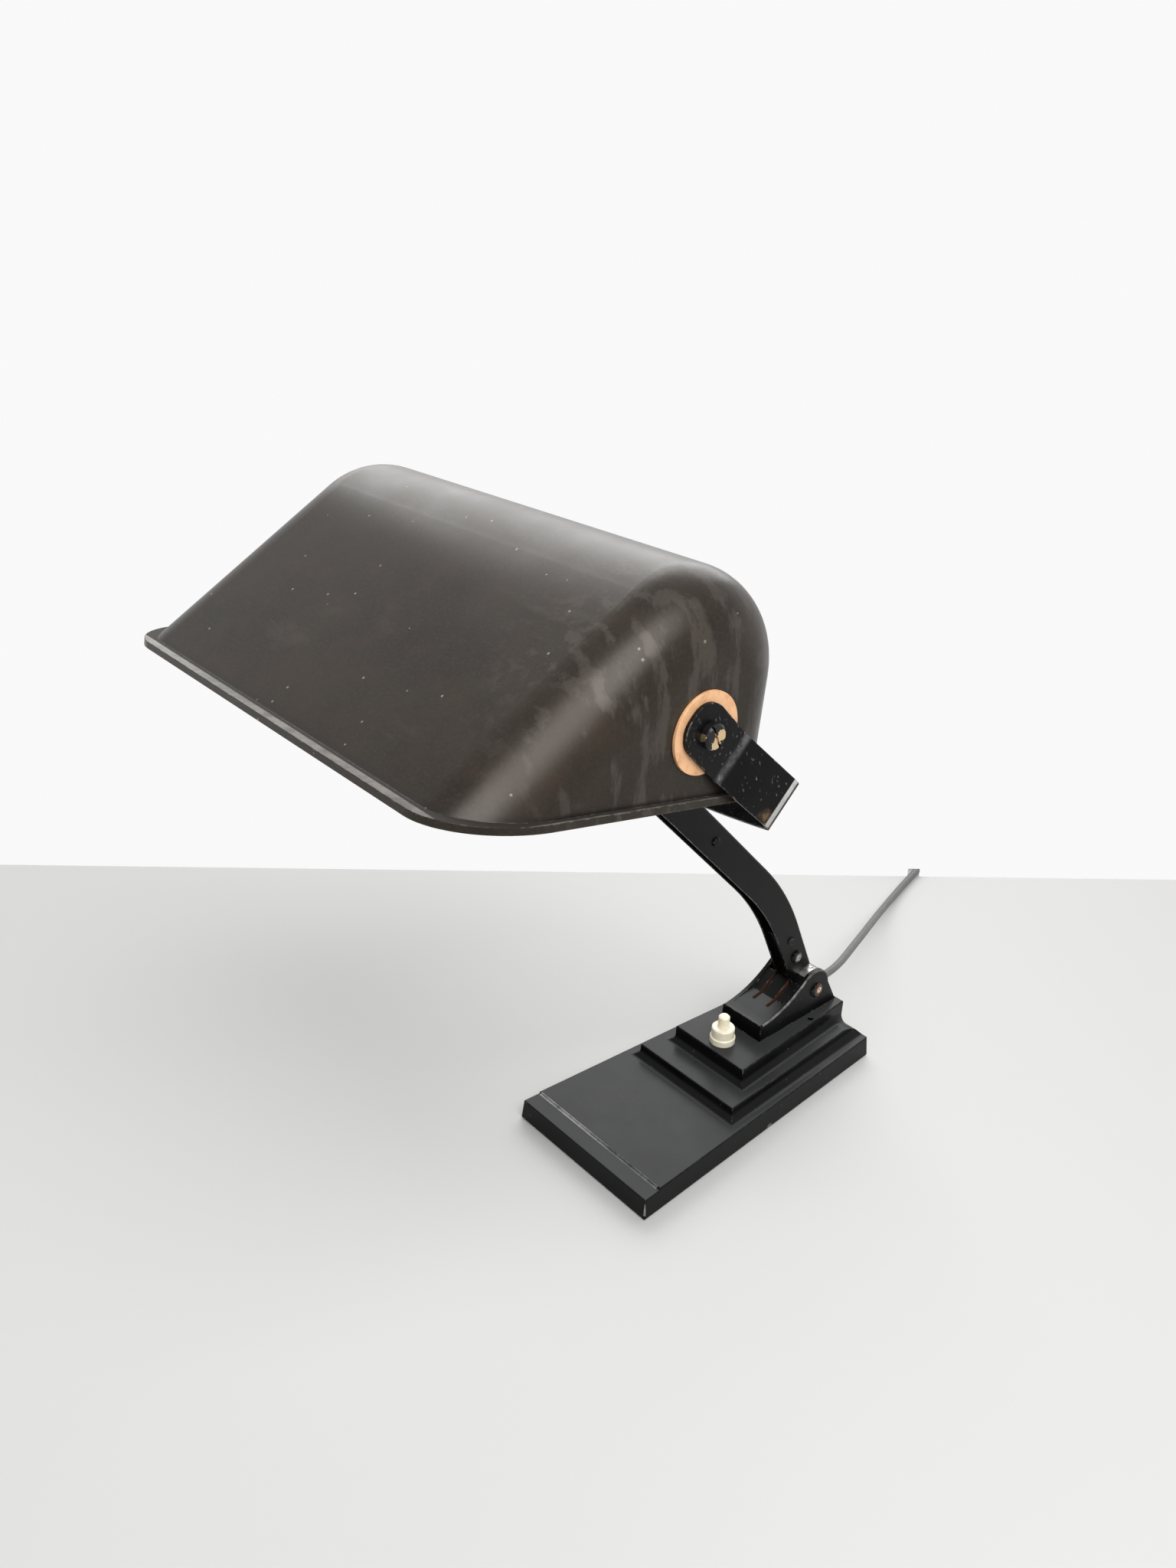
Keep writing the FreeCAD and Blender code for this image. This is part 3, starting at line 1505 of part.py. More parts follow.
def holder_seat():
    """The ceramic disc that carries the screw sleeve."""
    outer = s.holder_shell_diameter / 2 - s.holder_wall - s.neck_clearance
    seat = turned(
        "holder_seat",
        [
            (NONE, -s.holder_seat_thickness),
            (outer, -s.holder_seat_thickness),
            (outer, NONE),
            (NONE, NONE),
        ],
    )
    on_pivot(seat, -1, cap_face - s.holder_cap_length)


sleeve_face = cap_face - s.holder_cap_length - s.holder_seat_thickness


def holder_sleeve():
    outer = s.sleeve_diameter / 2
    sleeve = turned(
        "holder_sleeve",
        [
            (outer - s.sleeve_wall, -s.sleeve_length),
            (outer, -s.sleeve_length),
            (outer, NONE),
            (outer - s.sleeve_wall, NONE),
        ],
    )
    on_pivot(sleeve, -1, sleeve_face)


def bulb_cap():
    outer = s.bulb_cap_diameter / 2
    cap = turned(
        "bulb_cap",
        [
            (NONE, -s.bulb_cap_length),
            (outer, -s.bulb_cap_length),
            (outer, -s.bulb_cap_shoulder_drop),
            (outer - s.bulb_contact_inset, NONE),
            (NONE, NONE),
        ],
    )
    on_pivot(cap, -1, sleeve_face - s.bulb_contact_gap)


def bulb_glass():
    """A pear-shaped bulb: neck, swelling and round end, turned from arcs."""
    neck = number("bulb_neck_radius")
    ball = number("bulb_diameter") / 2
    long = number("bulb_length")
    shoulder = long - ball * BALL_START_SHARE
    start = Vector(neck, 0, 0)
    waist = Vector(neck * WAIST_WIDTH_SHARE, 0, -shoulder * WAIST_DROP_SHARE)
    belly = Vector(ball, 0, -(long - ball))
    end = Vector(0, 0, -long)
    onward = Vector(0, 0, -1)
    neck_curve = Part.BSplineCurve()
    neck_curve.interpolate(
        [start, waist, belly],
        Tangents=[onward, waist - start, onward],
        TangentFlags=[True, False, True],
    )
    belly_end = Vector(ball * math.sin(math.pi / 4), 0, -(long - ball) - ball * math.cos(math.pi / 4))
    edges = [
        neck_curve.toShape(),
        Part.Arc(belly, belly_end, end).toShape(),
        Part.LineSegment(end, Vector(0, 0, 0)).toShape(),
        Part.LineSegment(Vector(0, 0, 0), start).toShape(),
    ]
    solid = Part.Face(Part.Wire(edges)).revolve(Vector(0, 0, 0), Vector(0, 0, 1), 360)
    x = -float(sleeve_face - s.bulb_contact_gap - s.bulb_cap_length)
    shaped("bulb_glass", solid, FreeCAD.Placement(Vector(x, pivot_at.y, pivot_at.z), TO_LEFT))


# Cord: out of a bush behind the hinge, down to the table, and put away in a tied coil

back_wall = s.pin_offset + s.hinge_pocket_back


def cord_bush():
    bore = s.cord_diameter / 2 + s.cord_clearance
    bush = turned(
        "cord_bush",
        [
            (bore, -s.bush_flange_length),
            (s.bush_flange_diameter / 2, -s.bush_flange_length),
            (s.bush_flange_diameter / 2, NONE),
            (s.bush_diameter / 2, NONE),
            (s.bush_diameter / 2, s.bush_nose_length / 2),
            (s.bush_nose_diameter / 2, s.bush_nose_length),
            (bore, s.bush_nose_length),
        ],
    )
    place(bush, y=back_wall, z=s.bush_place_height, turn=TO_BACK)


CORD_ROUTE = [
    (0.0, 86.4, 38.2),
    (0.0, 104.0, 38.0),
    (-3.6, 122.0, 36.6),
    (-14.0, 148.0, 31.3),
    (-28.0, 182.0, 23.5),
    (-43.0, 216.0, 14.0),
    (-56.0, 248.0, 6.6),
    (-66.6, 280.0, 3.5),
    (-75.0, 312.0, 3.5),
    (-81.8, 344.0, 3.5),
]


def rounded_route(points):
    """Straight runs joined by tangent arcs; returns the wire, its length and its radii."""
    edges = []
    radii = []
    start = points[0]
    for before, corner, after in zip(points, points[1:], points[2:]):
        into = (corner - before).normalize()
        out = (after - corner).normalize()
        turn = into.getAngle(out)
        reach = CORD_ARC_SHARE * min((corner - before).Length, (after - corner).Length)
        radii.append(reach / math.tan(turn / 2))
        arc_start = corner - into * reach
        arc_end = corner + out * reach
        bisector = (out - into).normalize()
        centre_distance = radii[-1] / math.cos(turn / 2)
        middle = corner + bisector * (centre_distance - radii[-1])
        edges.append(Part.LineSegment(start, arc_start).toShape())
        edges.append(Part.Arc(arc_start, middle, arc_end).toShape())
        start = arc_end
    edges.append(Part.LineSegment(start, points[-1]).toShape())
    wire = Part.Wire(edges)
    return wire, radii


def tube(wire, diameter):
    first = wire.Edges[0]
    ring_start = first.valueAt(first.FirstParameter)
    direction = first.tangentAt(first.FirstParameter)
    section = Part.Wire(Part.makeCircle(diameter / 2, ring_start, direction))
    return wire.makePipeShell([section], True, False)


def cord_run():
    wire, radii = rounded_route([Vector(*p) for p in CORD_ROUTE])
    run = tube(wire, number("cord_diameter"))
    share = run.Volume / (wire.Length * math.pi * number("cord_diameter") ** 2 / 4)
    print(f"cord_run length {wire.Length:.1f} volume share {share:.4f} least radius {min(radii):.1f}")
    shaped("cord_run", run)
    return wire.Length


def coil_point(turns):
    """A point of the put-away coil: rings spiral in, climb a layer as they turn back, and spiral out."""
    climb_turns = number("coil_climb_turns")
    layer_turns = number("coil_turns_a_layer")
    lap = layer_turns + climb_turns
    phase = (turns + climb_turns / 2) % (2 * lap)
    sway = lap / 2 - phase if phase < lap else phase - 3 * lap / 2
    radius = number("coil_middle_radius") + number("coil_step") * sway
    layers_done, into_layer = divmod(turns, lap)
    climb = max(0.0, into_layer - layer_turns) / climb_turns
    height = number("coil_step") * (layers_done + (1 - math.cos(math.pi * climb)) / 2)
    angle = 2 * math.pi * turns
    return Vector(radius * math.cos(angle), radius * math.sin(angle), height)


def coil_heading(turns):
    return (coil_point(turns + TOLERANCE) - coil_point(turns - TOLERANCE)).normalize()


def arc_to(start, corner, end):
    """The arc from start to end whose two tangents meet at corner."""
    middle = (start + end) * 0.5
    half_chord = (end - start).Length / 2
    rise = corner - middle
    turn = math.atan2(rise.Length, half_chord)
    return Part.Arc(start, middle + rise.normalize() * half_chord * math.tan(turn / 2), end).toShape()


def biarc(start, start_heading, end, end_heading):
    gap = end - start
    spread = 2 * (1 - start_heading.dot(end_heading))
    lean = gap.dot(start_heading + end_heading)
    reach = (math.sqrt(lean**2 + spread * gap.dot(gap)) - lean) / spread
    first = start + start_heading * reach
    last = end - end_heading * reach
    join = (first + last) * 0.5
    return [arc_to(start, first, join), arc_to(join, last, end)]


coil_turns = (number("coil_turns_a_layer") + number("coil_climb_turns")) * number("coil_layers")
coil_turns = coil_turns - number("coil_climb_turns")
QUARTERS = 4


def least_gap(edges, diameter):
    """The least clear distance between stretches of the tube that aren't neighbours along it."""
    points = []
    along = 0.0
    for edge in edges:
        points += edge.discretize(GAP_POINTS_AN_ARC + 1)[:-1]
        along += edge.Length
    spacing = along / len(points)
    points = [(index * spacing, p) for index, p in enumerate(points)]
    least = along
    for index, (here, p) in enumerate(points):
        for there, q in points[index:]:
            if there - here > 2 * number("coil_middle_radius"):
                least = min(least, (p - q).Length)
    return least - diameter


def coil_placement():
    """Lays the coil so that its first straight carries on the run to it."""
    before, end = (Vector(*p) for p in CORD_ROUTE[-2:])
    heading = coil_heading(0)
    run_heading = end - before
    turn = math.atan2(run_heading.y, run_heading.x) - math.atan2(heading.y, heading.x)
    rotation = Rotation(Vector(0, 0, 1), math.degrees(turn))
    start = coil_point(0) - heading * number("cord_diameter")
    return FreeCAD.Placement(end - rotation.multVec(start), rotation)


def cord_coil():
    diameter = number("cord_diameter")
    start = coil_point(0)
    edges = [Part.LineSegment(start - coil_heading(0) * diameter, start).toShape()]
    for step in range(round(coil_turns * QUARTERS)):
        here = step / QUARTERS
        there = (step + 1) / QUARTERS
        edges += biarc(coil_point(here), coil_heading(here), coil_point(there), coil_heading(there))
    end = coil_point(coil_turns)
    tail = end + coil_heading(coil_turns) * number("coil_tail_length")
    edges.append(Part.LineSegment(end, tail).toShape())
    wire = Part.Wire(edges)
    coil = tube(wire, diameter)
    share = coil.Volume / (wire.Length * math.pi * diameter**2 / 4)
    radii = [edge.Curve.Radius for edge in edges[1:-1]]
    print(f"cord_coil length {wire.Length:.1f} volume share {share:.4f} least radius {min(radii):.1f}")
    print(f"cord_coil least gap {least_gap(edges, diameter):.2f}")
    shaped("cord_coil", coil, coil_placement())


def cord_tie():
    """A band round the coil's two layers, where its rings lie square over each other."""
    laps = [number("tie_turn") + lap for lap in range(int(coil_turns))]
    rings = [math.hypot(p.x, p.y) for p in (coil_point(turns) for turns in laps)]
    room = number("cord_diameter") / 2 + number("tie_gap")
    thickness = number("tie_thickness")
    width = number("tie_width")
    low = min(rings) - room
    high = max(rings) + room
    top = number("coil_step") + room

    def block(grow, radius):
        corner = Vector(low - grow, -width / 2, -room - grow)
        solid = Part.makeBox(high - low + 2 * grow, width, top + room + 2 * grow, corner)
        long_edges = [edge for edge in solid.Edges if near(edge.BoundBox.YLength, width)]
        return solid.makeFillet(radius, long_edges)

    corner_round = number("tie_corner_round")
    band = block(thickness, corner_round).cut(block(0.0, corner_round - thickness))
    turn = Rotation(Vector(0, 0, 1), 360 * number("tie_turn"))
    shaped("cord_tie", band, coil_placement().multiply(FreeCAD.Placement(Vector(), turn)))


def plug_frame():
    """The plug's own axes: +Z on from the cord's end, +Y up."""
    coil = coil_placement()
    heading = coil_heading(coil_turns)
    end = coil.multVec(coil_point(coil_turns) + heading * number("coil_tail_length"))
    forward = coil.Rotation.multVec(heading)
    up = Vector(0, 0, 1)
    return FreeCAD.Placement(end, Rotation(up.cross(forward), up, forward, "ZYX"))


coil_low = Size(CORD_ROUTE[-1][2], str(CORD_ROUTE[-1][2]))
plug_half_height = coil_low + s.coil_step


def plug_body():
    """A flat two-pin plug that widens from its cord guard, lying on the table."""
    body = new_body("plug_body")
    neck = s.plug_relief_length
    shoulder = neck + s.plug_length * PLUG_SHOULDER_SHARE
    end = neck + s.plug_length
    plan = outline(
        body,
        "plug_plan",
        "XZ_Plane",
        [
            (-s.plug_neck_width / 2, neck),
            (s.plug_neck_width / 2, neck),
            (s.plug_width / 2, shoulder),
            (s.plug_width / 2, end),
            (-s.plug_width / 2, end),
            (-s.plug_width / 2, shoulder),
        ],
    )
    pad(body, "plug_block", plan, plug_half_height * 2, middle=True)
    round_edges(
        body,
        "plug_rounds",
        s.plug_round,
        lambda edge: edge.BoundBox.ZMin < float(end) - TOLERANCE,
    )
    guard = outline(
        body,
        "guard_profile",
        "XZ_Plane",
        [
            (NONE, NONE),
            (s.plug_relief_tip_diameter / 2, NONE),
            (s.plug_relief_diameter / 2, neck + s.plug_round),
            (NONE, neck + s.plug_round),
        ],
    )
    made = body.newObject("PartDesign::Revolution", "guard")
    made.Profile = guard
    made.ReferenceAxis = (guard, ["V_Axis"])
    made.Angle = 360
    for side, sign in (("left", 1), ("right", -1)):
        across = s.plug_pin_spread / 2 * sign
        hole = circle(body, f"seat_{side}", "XY_Plane", across, NONE, s.plug_pin_diameter)
        hole.AttachmentOffset = FreeCAD.Placement(Vector(0, 0, float(end - s.plug_pin_seat)), Rotation())
        hole.setExpression("AttachmentOffset.Base.z", (end - s.plug_pin_seat).text)
        pocket(body, f"seat_{side}_cut", hole, s.plug_pin_seat + s.overrun, backwards=True)
    body.Placement = plug_frame()


def plug_pins():
    """Two round pins with eased tips, seated in the plug."""
    foot = s.plug_relief_length + s.plug_length - s.plug_pin_seat
    tip = s.plug_relief_length + s.plug_length + s.plug_pin_length
    half = s.plug_pin_diameter / 2
    for side, sign in (("left", 1), ("right", -1)):
        pin = turned(
            f"plug_pin_{side}",
            [
                (NONE, foot),
                (half, foot),
                (half, tip - s.plug_pin_tip),
                (half - s.plug_pin_tip / 2, tip),
                (NONE, tip),
            ],
        )
        frame = plug_frame()
        shift = Vector(number("plug_pin_spread") / 2 * sign, 0, 0)
        pin.Placement = FreeCAD.Placement(frame.multVec(shift), frame.Rotation)


def check_and_write():
    doc.recompute()
    os.makedirs("parts", exist_ok=True)
    for item in doc.Objects:
        if "Invalid" in item.State or "Error" in item.State:
            raise RuntimeError(f"{item.Label} failed: {item.State}")
    made = [o for o in doc.Objects if o.TypeId in ("PartDesign::Body", "Part::Feature")]
    for item in made:
        if item.Shape.isNull() or not item.Shape.isValid() or not item.Shape.Solids:
            raise RuntimeError(f"{item.Label} has no valid solid")
        item.Shape.exportStep(f"parts/{item.Label}.step")
    print(f"wrote {len(made)} parts")


def build():
    base_shell()
    base_weight()
    bottom_cover()
    felt_pad()
    cover_screws()
    switch_collar()
    switch_body()
    switch_button()
    switch_spring()
    hinge_pin()
    hinge_washers()
    arm_knuckle()
    arm_channel()
    arm_fasteners()
    arm_head()
    head_screws()
    yoke()
    shade()
    pivot_rings()
    pivot_screw()
    pivot_nut()
    pivot_nipple()
    holder_cap()
    holder_shell()
    holder_seat()
    holder_sleeve()
    bulb_cap()
    bulb_glass()
    cord_bush()
    cord_run()
    cord_coil()
    cord_tie()
    plug_body()
    plug_pins()
    check_and_write()


build()
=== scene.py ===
import json
import math

import bmesh
import bpy
from mathutils import Matrix, Vector


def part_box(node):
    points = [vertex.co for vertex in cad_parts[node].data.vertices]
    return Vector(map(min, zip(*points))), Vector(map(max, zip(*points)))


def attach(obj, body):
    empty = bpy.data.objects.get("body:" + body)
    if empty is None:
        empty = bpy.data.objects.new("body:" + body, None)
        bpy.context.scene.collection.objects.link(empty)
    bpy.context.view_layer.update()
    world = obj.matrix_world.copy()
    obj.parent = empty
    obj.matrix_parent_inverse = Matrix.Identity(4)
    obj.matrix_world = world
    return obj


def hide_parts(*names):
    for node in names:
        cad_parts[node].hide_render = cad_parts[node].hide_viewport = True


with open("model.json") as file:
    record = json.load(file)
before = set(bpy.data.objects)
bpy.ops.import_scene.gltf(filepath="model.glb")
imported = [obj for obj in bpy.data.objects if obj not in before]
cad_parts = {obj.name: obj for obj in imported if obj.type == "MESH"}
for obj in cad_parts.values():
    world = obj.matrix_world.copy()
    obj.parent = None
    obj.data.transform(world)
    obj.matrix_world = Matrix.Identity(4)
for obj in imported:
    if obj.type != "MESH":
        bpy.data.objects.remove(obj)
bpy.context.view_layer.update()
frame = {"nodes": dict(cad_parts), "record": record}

# Looks for the desk lamp: its camera, cord, felt, materials, stage and light. Lengths are metres.

nodes = frame["nodes"]
scene = bpy.context.scene
scene.view_settings.view_transform = "Standard"


def add_object(name, data):
    made = bpy.data.objects.new(name, data)
    scene.collection.objects.link(made)
    return made


# Camera, fitted to the photograph: its place, its turn and its focal length in pixels

CAMERA_AT = Vector((0.3834, -0.4526, 0.4867))
CAMERA_PITCH = 0.4535
CAMERA_YAW = 0.8354
CAMERA_ROLL = 0.0365
FOCAL_PIXELS = 1620.8
PICTURE_HEIGHT_PIXELS = 2048
SENSOR = 36.0


def make_camera():
    forward = Vector((
        -math.sin(CAMERA_YAW) * math.cos(CAMERA_PITCH),
        math.cos(CAMERA_YAW) * math.cos(CAMERA_PITCH),
        -math.sin(CAMERA_PITCH),
    ))
    level = Vector((math.cos(CAMERA_YAW), math.sin(CAMERA_YAW), 0))
    upright = level.cross(forward)
    right = level * math.cos(CAMERA_ROLL) + upright * math.sin(CAMERA_ROLL)
    up = upright * math.cos(CAMERA_ROLL) - level * math.sin(CAMERA_ROLL)
    data = bpy.data.cameras.new("camera")
    data.sensor_fit = "AUTO"
    data.sensor_width = SENSOR
    data.lens = FOCAL_PIXELS / PICTURE_HEIGHT_PIXELS * SENSOR
    data.clip_start = 0.01
    camera = add_object("camera", data)
    camera.matrix_world = Matrix((
        (right.x, up.x, -forward.x, CAMERA_AT.x),
        (right.y, up.y, -forward.y, CAMERA_AT.y),
        (right.z, up.z, -forward.z, CAMERA_AT.z),
        (0, 0, 0, 1),
    ))
    scene.camera = camera


# Cord: the run and the put-away coil are one spline, with the route of the CAD part

CORD_DIAMETER = 0.005
CORD_SMOOTHNESS = 6
CORD_ROUTE = [
    (0.0, 0.0864, 0.0382),
    (0.0, 0.104, 0.038),
    (-0.0036, 0.122, 0.0366),
    (-0.014, 0.148, 0.0313),
    (-0.028, 0.182, 0.0235),
    (-0.043, 0.216, 0.014),
    (-0.056, 0.248, 0.0066),
    (-0.0666, 0.28, 0.0035),
    (-0.075, 0.312, 0.0035),
    (-0.0818, 0.344, 0.0035),
]
# The coil: its middle radius, the step between rings and layers, the turns of a layer and of a climb to the
# next, all its turns, the spline's points in a turn, a turn small enough to show a heading, and its tail
COIL_RADIUS = 0.0275
COIL_STEP = 0.0055
COIL_LAYER_TURNS = 3.875
COIL_CLIMB_TURNS = 0.5
COIL_TURNS = 8.25
COIL_POINTS_A_TURN = 16
COIL_SMALL_TURN = 0.001
COIL_TAIL = 0.02


def coil_point(turns, grow=1.0):
    """A point of the coil: rings spiral in, climb a layer as they turn back, and spiral out."""
    lap = COIL_LAYER_TURNS + COIL_CLIMB_TURNS
    phase = (turns + COIL_CLIMB_TURNS / 2) % (2 * lap)
    sway = lap / 2 - phase if phase < lap else phase - 1.5 * lap
    radius = (COIL_RADIUS + COIL_STEP * sway) * grow
    layers_done, into_layer = divmod(turns, lap)
    climb = max(0.0, into_layer - COIL_LAYER_TURNS) / COIL_CLIMB_TURNS
    height = COIL_STEP * (layers_done + (1 - math.cos(math.pi * climb)) / 2)
    angle = 2 * math.pi * turns
    return Vector((radius * math.cos(angle), radius * math.sin(angle), height))


def coil_heading(turns):
    return (coil_point(turns + COIL_SMALL_TURN) - coil_point(turns - COIL_SMALL_TURN)).normalized()


def coil_placement():
    """Lays the coil so that its first straight carries on the run to it."""
    run_end = Vector(CORD_ROUTE[-1])
    run_heading = run_end - Vector(CORD_ROUTE[-2])
    heading = coil_heading(0)
    turn = math.atan2(run_heading.y, run_heading.x) - math.atan2(heading.y, heading.x)
    rotation = Matrix.Rotation(turn, 4, "Z")
    shift = run_end - rotation @ (coil_point(0) - heading * CORD_DIAMETER)
    return Matrix.Translation(shift) @ rotation


def coil_route():
    """The coil's control points, grown so that the spline inside them keeps the coil's radius."""
    grow = 1 / math.cos(math.pi / COIL_POINTS_A_TURN)
    count = round(COIL_TURNS * COIL_POINTS_A_TURN)
    points = [coil_point(index / COIL_POINTS_A_TURN, grow) for index in range(1, count)]
    end = coil_point(COIL_TURNS)
    points += [end, end + coil_heading(COIL_TURNS) * COIL_TAIL]
    placement = coil_placement()
    return [placement @ point for point in points]


# The tie: where it sits in turns of the coil, its room round the middle of a cord, its tape and corners, and
# how far its edges ripple and by what angle from one point to the next
TIE_TURN = 0.625
TIE_ROOM = 0.0029
TIE_THICKNESS = 0.0006
TIE_WIDTH = 0.005
TIE_CORNER = 0.0015
TIE_CORNER_STEPS = 6
TIE_ROWS = 6
TIE_RIPPLE = 0.00015
TIE_RIPPLE_ANGLE = 1.7


def tie_outline(grow):
    """The rounded oblong that the tape follows round the coil's rings, seen along its width."""
    laps = [TIE_TURN + lap for lap in range(int(COIL_TURNS))]
    rings = [math.hypot(p.x, p.y) for p in map(coil_point, laps)]
    low, high = min(rings) - TIE_ROOM, max(rings) + TIE_ROOM
    bottom, top = -TIE_ROOM, COIL_STEP + TIE_ROOM
    inner = TIE_CORNER - TIE_THICKNESS
    corners = ((high, top, 0), (low, top, 1), (low, bottom, 2), (high, bottom, 3))
    points = []
    for across, up, quarter in corners:
        centre = Vector((across - math.copysign(inner, across - (low + high) / 2), 0, 0))
        centre.z = up - math.copysign(inner, up - (bottom + top) / 2)
        for step in range(TIE_CORNER_STEPS + 1):
            angle = math.pi / 2 * (quarter + step / TIE_CORNER_STEPS)
            points.append(centre + Vector((math.cos(angle), 0, math.sin(angle))) * (inner + grow))
    return points


def make_tie():
    """A band of woven tape round the coil, with slightly rippled edges."""
    inner, outer = tie_outline(0.0), tie_outline(TIE_THICKNESS)
    count = len(inner)
    rows = []
    for row in range(TIE_ROWS + 1):
        share = row / TIE_ROWS - 0.5
        points = []
        for index, point in enumerate(outer):
            ripple = TIE_RIPPLE * share * math.sin(index * TIE_RIPPLE_ANGLE)
            points.append(point + Vector((0, TIE_WIDTH * share + ripple, 0)))
        rows.append(points)
    for row in reversed(range(TIE_ROWS + 1)):
        side = Vector((0, TIE_WIDTH * (row / TIE_ROWS - 0.5), 0))
        rows.append([point + side for point in inner])
    faces = []
    for row in range(len(rows)):
        below = (row + 1) % len(rows)
        for index in range(count):
            after = (index + 1) % count
            corners = ((row, index), (below, index), (below, after), (row, after))
            faces.append([line * count + place for line, place in corners])
    mesh = bpy.data.meshes.new("tape")
    mesh.from_pydata([point for row in rows for point in row], [], faces)
    mesh.transform(coil_placement() @ Matrix.Rotation(2 * math.pi * TIE_TURN, 4, "Z"))
    mesh.materials.append(woven_tape())
    tape = add_object("tape", mesh)
    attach(tape, "base")
    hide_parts("cord_tie")
    return tape


def make_cord():
    route = [Vector(point) for point in CORD_ROUTE] + coil_route()
    curve = bpy.data.curves.new("flex", "CURVE")
    curve.dimensions = "3D"
    curve.bevel_depth = CORD_DIAMETER / 2
    curve.bevel_resolution = CORD_SMOOTHNESS
    curve.resolution_u = CORD_SMOOTHNESS
    curve.use_fill_caps = True
    spline = curve.splines.new("NURBS")
    spline.points.add(len(route) - 1)
    for point, place in zip(spline.points, route):
        point.co = (*place, 1)
    spline.order_u = 3
    spline.use_endpoint_u = True
    curve.materials.append(cord_grey())
    flex = add_object("flex", curve)
    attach(flex, "base")
    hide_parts("cord_run", "cord_coil")
    with_cord = [make_tie()] + [nodes[name] for name in ("plug_body", "plug_pin_left", "plug_pin_right")]


# Felt sole

# The felt: its holes' radius, how far from the middle they lie, their points, and its softened edge
FELT_HOLE = 0.0055
FELT_HOLE_AT = 0.0765
FELT_HOLE_POINTS = 32
FELT_EDGE = 0.0003


def make_felt():
    """The felt under the base: the plan of the CAD pad, with softened edges and its two holes."""
    corners = {}
    for vertex in nodes["felt_pad"].data.vertices:
        spot = vertex.co
        if abs(spot.x) > FELT_HOLE:
            corners[(spot.x > 0, spot.y > 0)] = spot
    plan = [corners[key] for key in ((False, False), (True, False), (True, True), (False, True))]
    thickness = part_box("felt_pad")[1][2]
    middle = sum(spot.y for spot in plan) / 4
    section = (
        (0, FELT_EDGE),
        (FELT_EDGE, 0),
        (thickness - FELT_EDGE, 0),
        (thickness, FELT_EDGE),
    )
    made = bmesh.new()
    layers = []
    for height, shrink in section:
        loops = [[]]
        for spot in plan:
            x = spot.x - math.copysign(shrink, spot.x)
            y = spot.y - math.copysign(shrink, spot.y - middle)
            loops[0].append(made.verts.new((x, y, height)))
        reach = FELT_HOLE + shrink
        for sign in (-1, 1):
            ring = []
            for index in range(FELT_HOLE_POINTS):
                angle = 2 * math.pi * index / FELT_HOLE_POINTS
                x = reach * math.cos(angle)
                y = sign * FELT_HOLE_AT + reach * math.sin(angle)
                ring.append(made.verts.new((x, y, height)))
            loops.append(ring)
        layers.append(loops)
    for low, high in zip(layers, layers[1:]):
        for lower, upper in zip(low, high):
            for index in range(len(lower)):
                after = (index + 1) % len(lower)
                made.faces.new((lower[index], lower[after], upper[after], upper[index]))
    for loops in (layers[0], layers[-1]):
        border = []
        for loop in loops:
            for pair in zip(loop, loop[1:] + loop[:1]):
                border.append(made.edges.get(pair) or made.edges.new(pair))
        bmesh.ops.triangle_fill(made, edges=border, use_beauty=True)
    bmesh.ops.recalc_face_normals(made, faces=made.faces)
    mesh = bpy.data.meshes.new("felt_sole")
    made.to_mesh(mesh)
    made.free()
    mesh.materials.append(felt())
    sole = add_object("felt_sole", mesh)
    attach(sole, "base")
    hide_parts("felt_pad")


# Materials, all made of nodes on the piece's own coordinates

# A speck's radius as a share of its cell, and the share of a spot's reach that is fully covered
SPECK_RADIUS = 0.22
SPOT_CORE = 0.4


def is_socket(value):
    return isinstance(value, bpy.types.NodeSocket)


def opaque(color):
    """A plain color with its alpha, or a socket as it is."""
    return color if is_socket(color) else (*color, 1)


class NodeTree:
    """Short calls for the nodes of a material or of the world."""

    def __init__(self, owner):
        owner.use_nodes = True
        self.tree = owner.node_tree

    def feed(self, socket, value):
        """Links another node's output to a socket, or sets the socket's own value."""
        if is_socket(value):
            self.tree.links.new(value, socket)
        else:
            socket.default_value = value

    def node(self, kind, inputs, output=0, **settings):
        made = self.tree.nodes.new(kind)
        for name, value in settings.items():
            setattr(made, name, value)
        for name, value in inputs.items():
            self.feed(made.inputs[name], value)
        return made.outputs[output]

    def math(self, operation, first, second=0.0, clamp=False):
        return self.node("ShaderNodeMath", {0: first, 1: second}, operation=operation, use_clamp=clamp)

    def times(self, product, *others):
        for other in others:
            product = self.math("MULTIPLY", product, other)
        return product

    def opposite(self, value):
        """One less the value."""
        return self.math("SUBTRACT", 1.0, value)

    def vector(self, operation, first, second=(0, 0, 0), output="Vector"):
        return self.node("ShaderNodeVectorMath", {0: first, 1: second}, operation=operation, output=output)

    def dot(self, first, second):
        return self.vector("DOT_PRODUCT", first, second, output="Value")

    def between(self, value, low, high, top=1.0):
        """Zero below low, top above high, and smooth between."""
        inputs = {"Value": value, "From Min": low, "From Max": high, "To Max": top}
        return self.node("ShaderNodeMapRange", inputs, interpolation_type="SMOOTHSTEP")

    def blend(self, share, first, second):
        """Mixes two plain values."""
        return self.node("ShaderNodeMix", {0: share, 2: first, 3: second})

    def mix(self, share, first, second):
        """Mixes two colors."""
        inputs = {0: share, 6: opaque(first), 7: opaque(second)}
        return self.node("ShaderNodeMix", inputs, output=2, data_type="RGBA")

    def seen(self):
        """One for what the camera sees straight, mirrored or through glass, zero for what lights a piece."""
        path = self.tree.nodes.new("ShaderNodeLightPath").outputs
        mirrored = self.math("MAXIMUM", path["Is Camera Ray"], path["Is Glossy Ray"])
        return self.math("MAXIMUM", mirrored, path["Is Transmission Ray"])


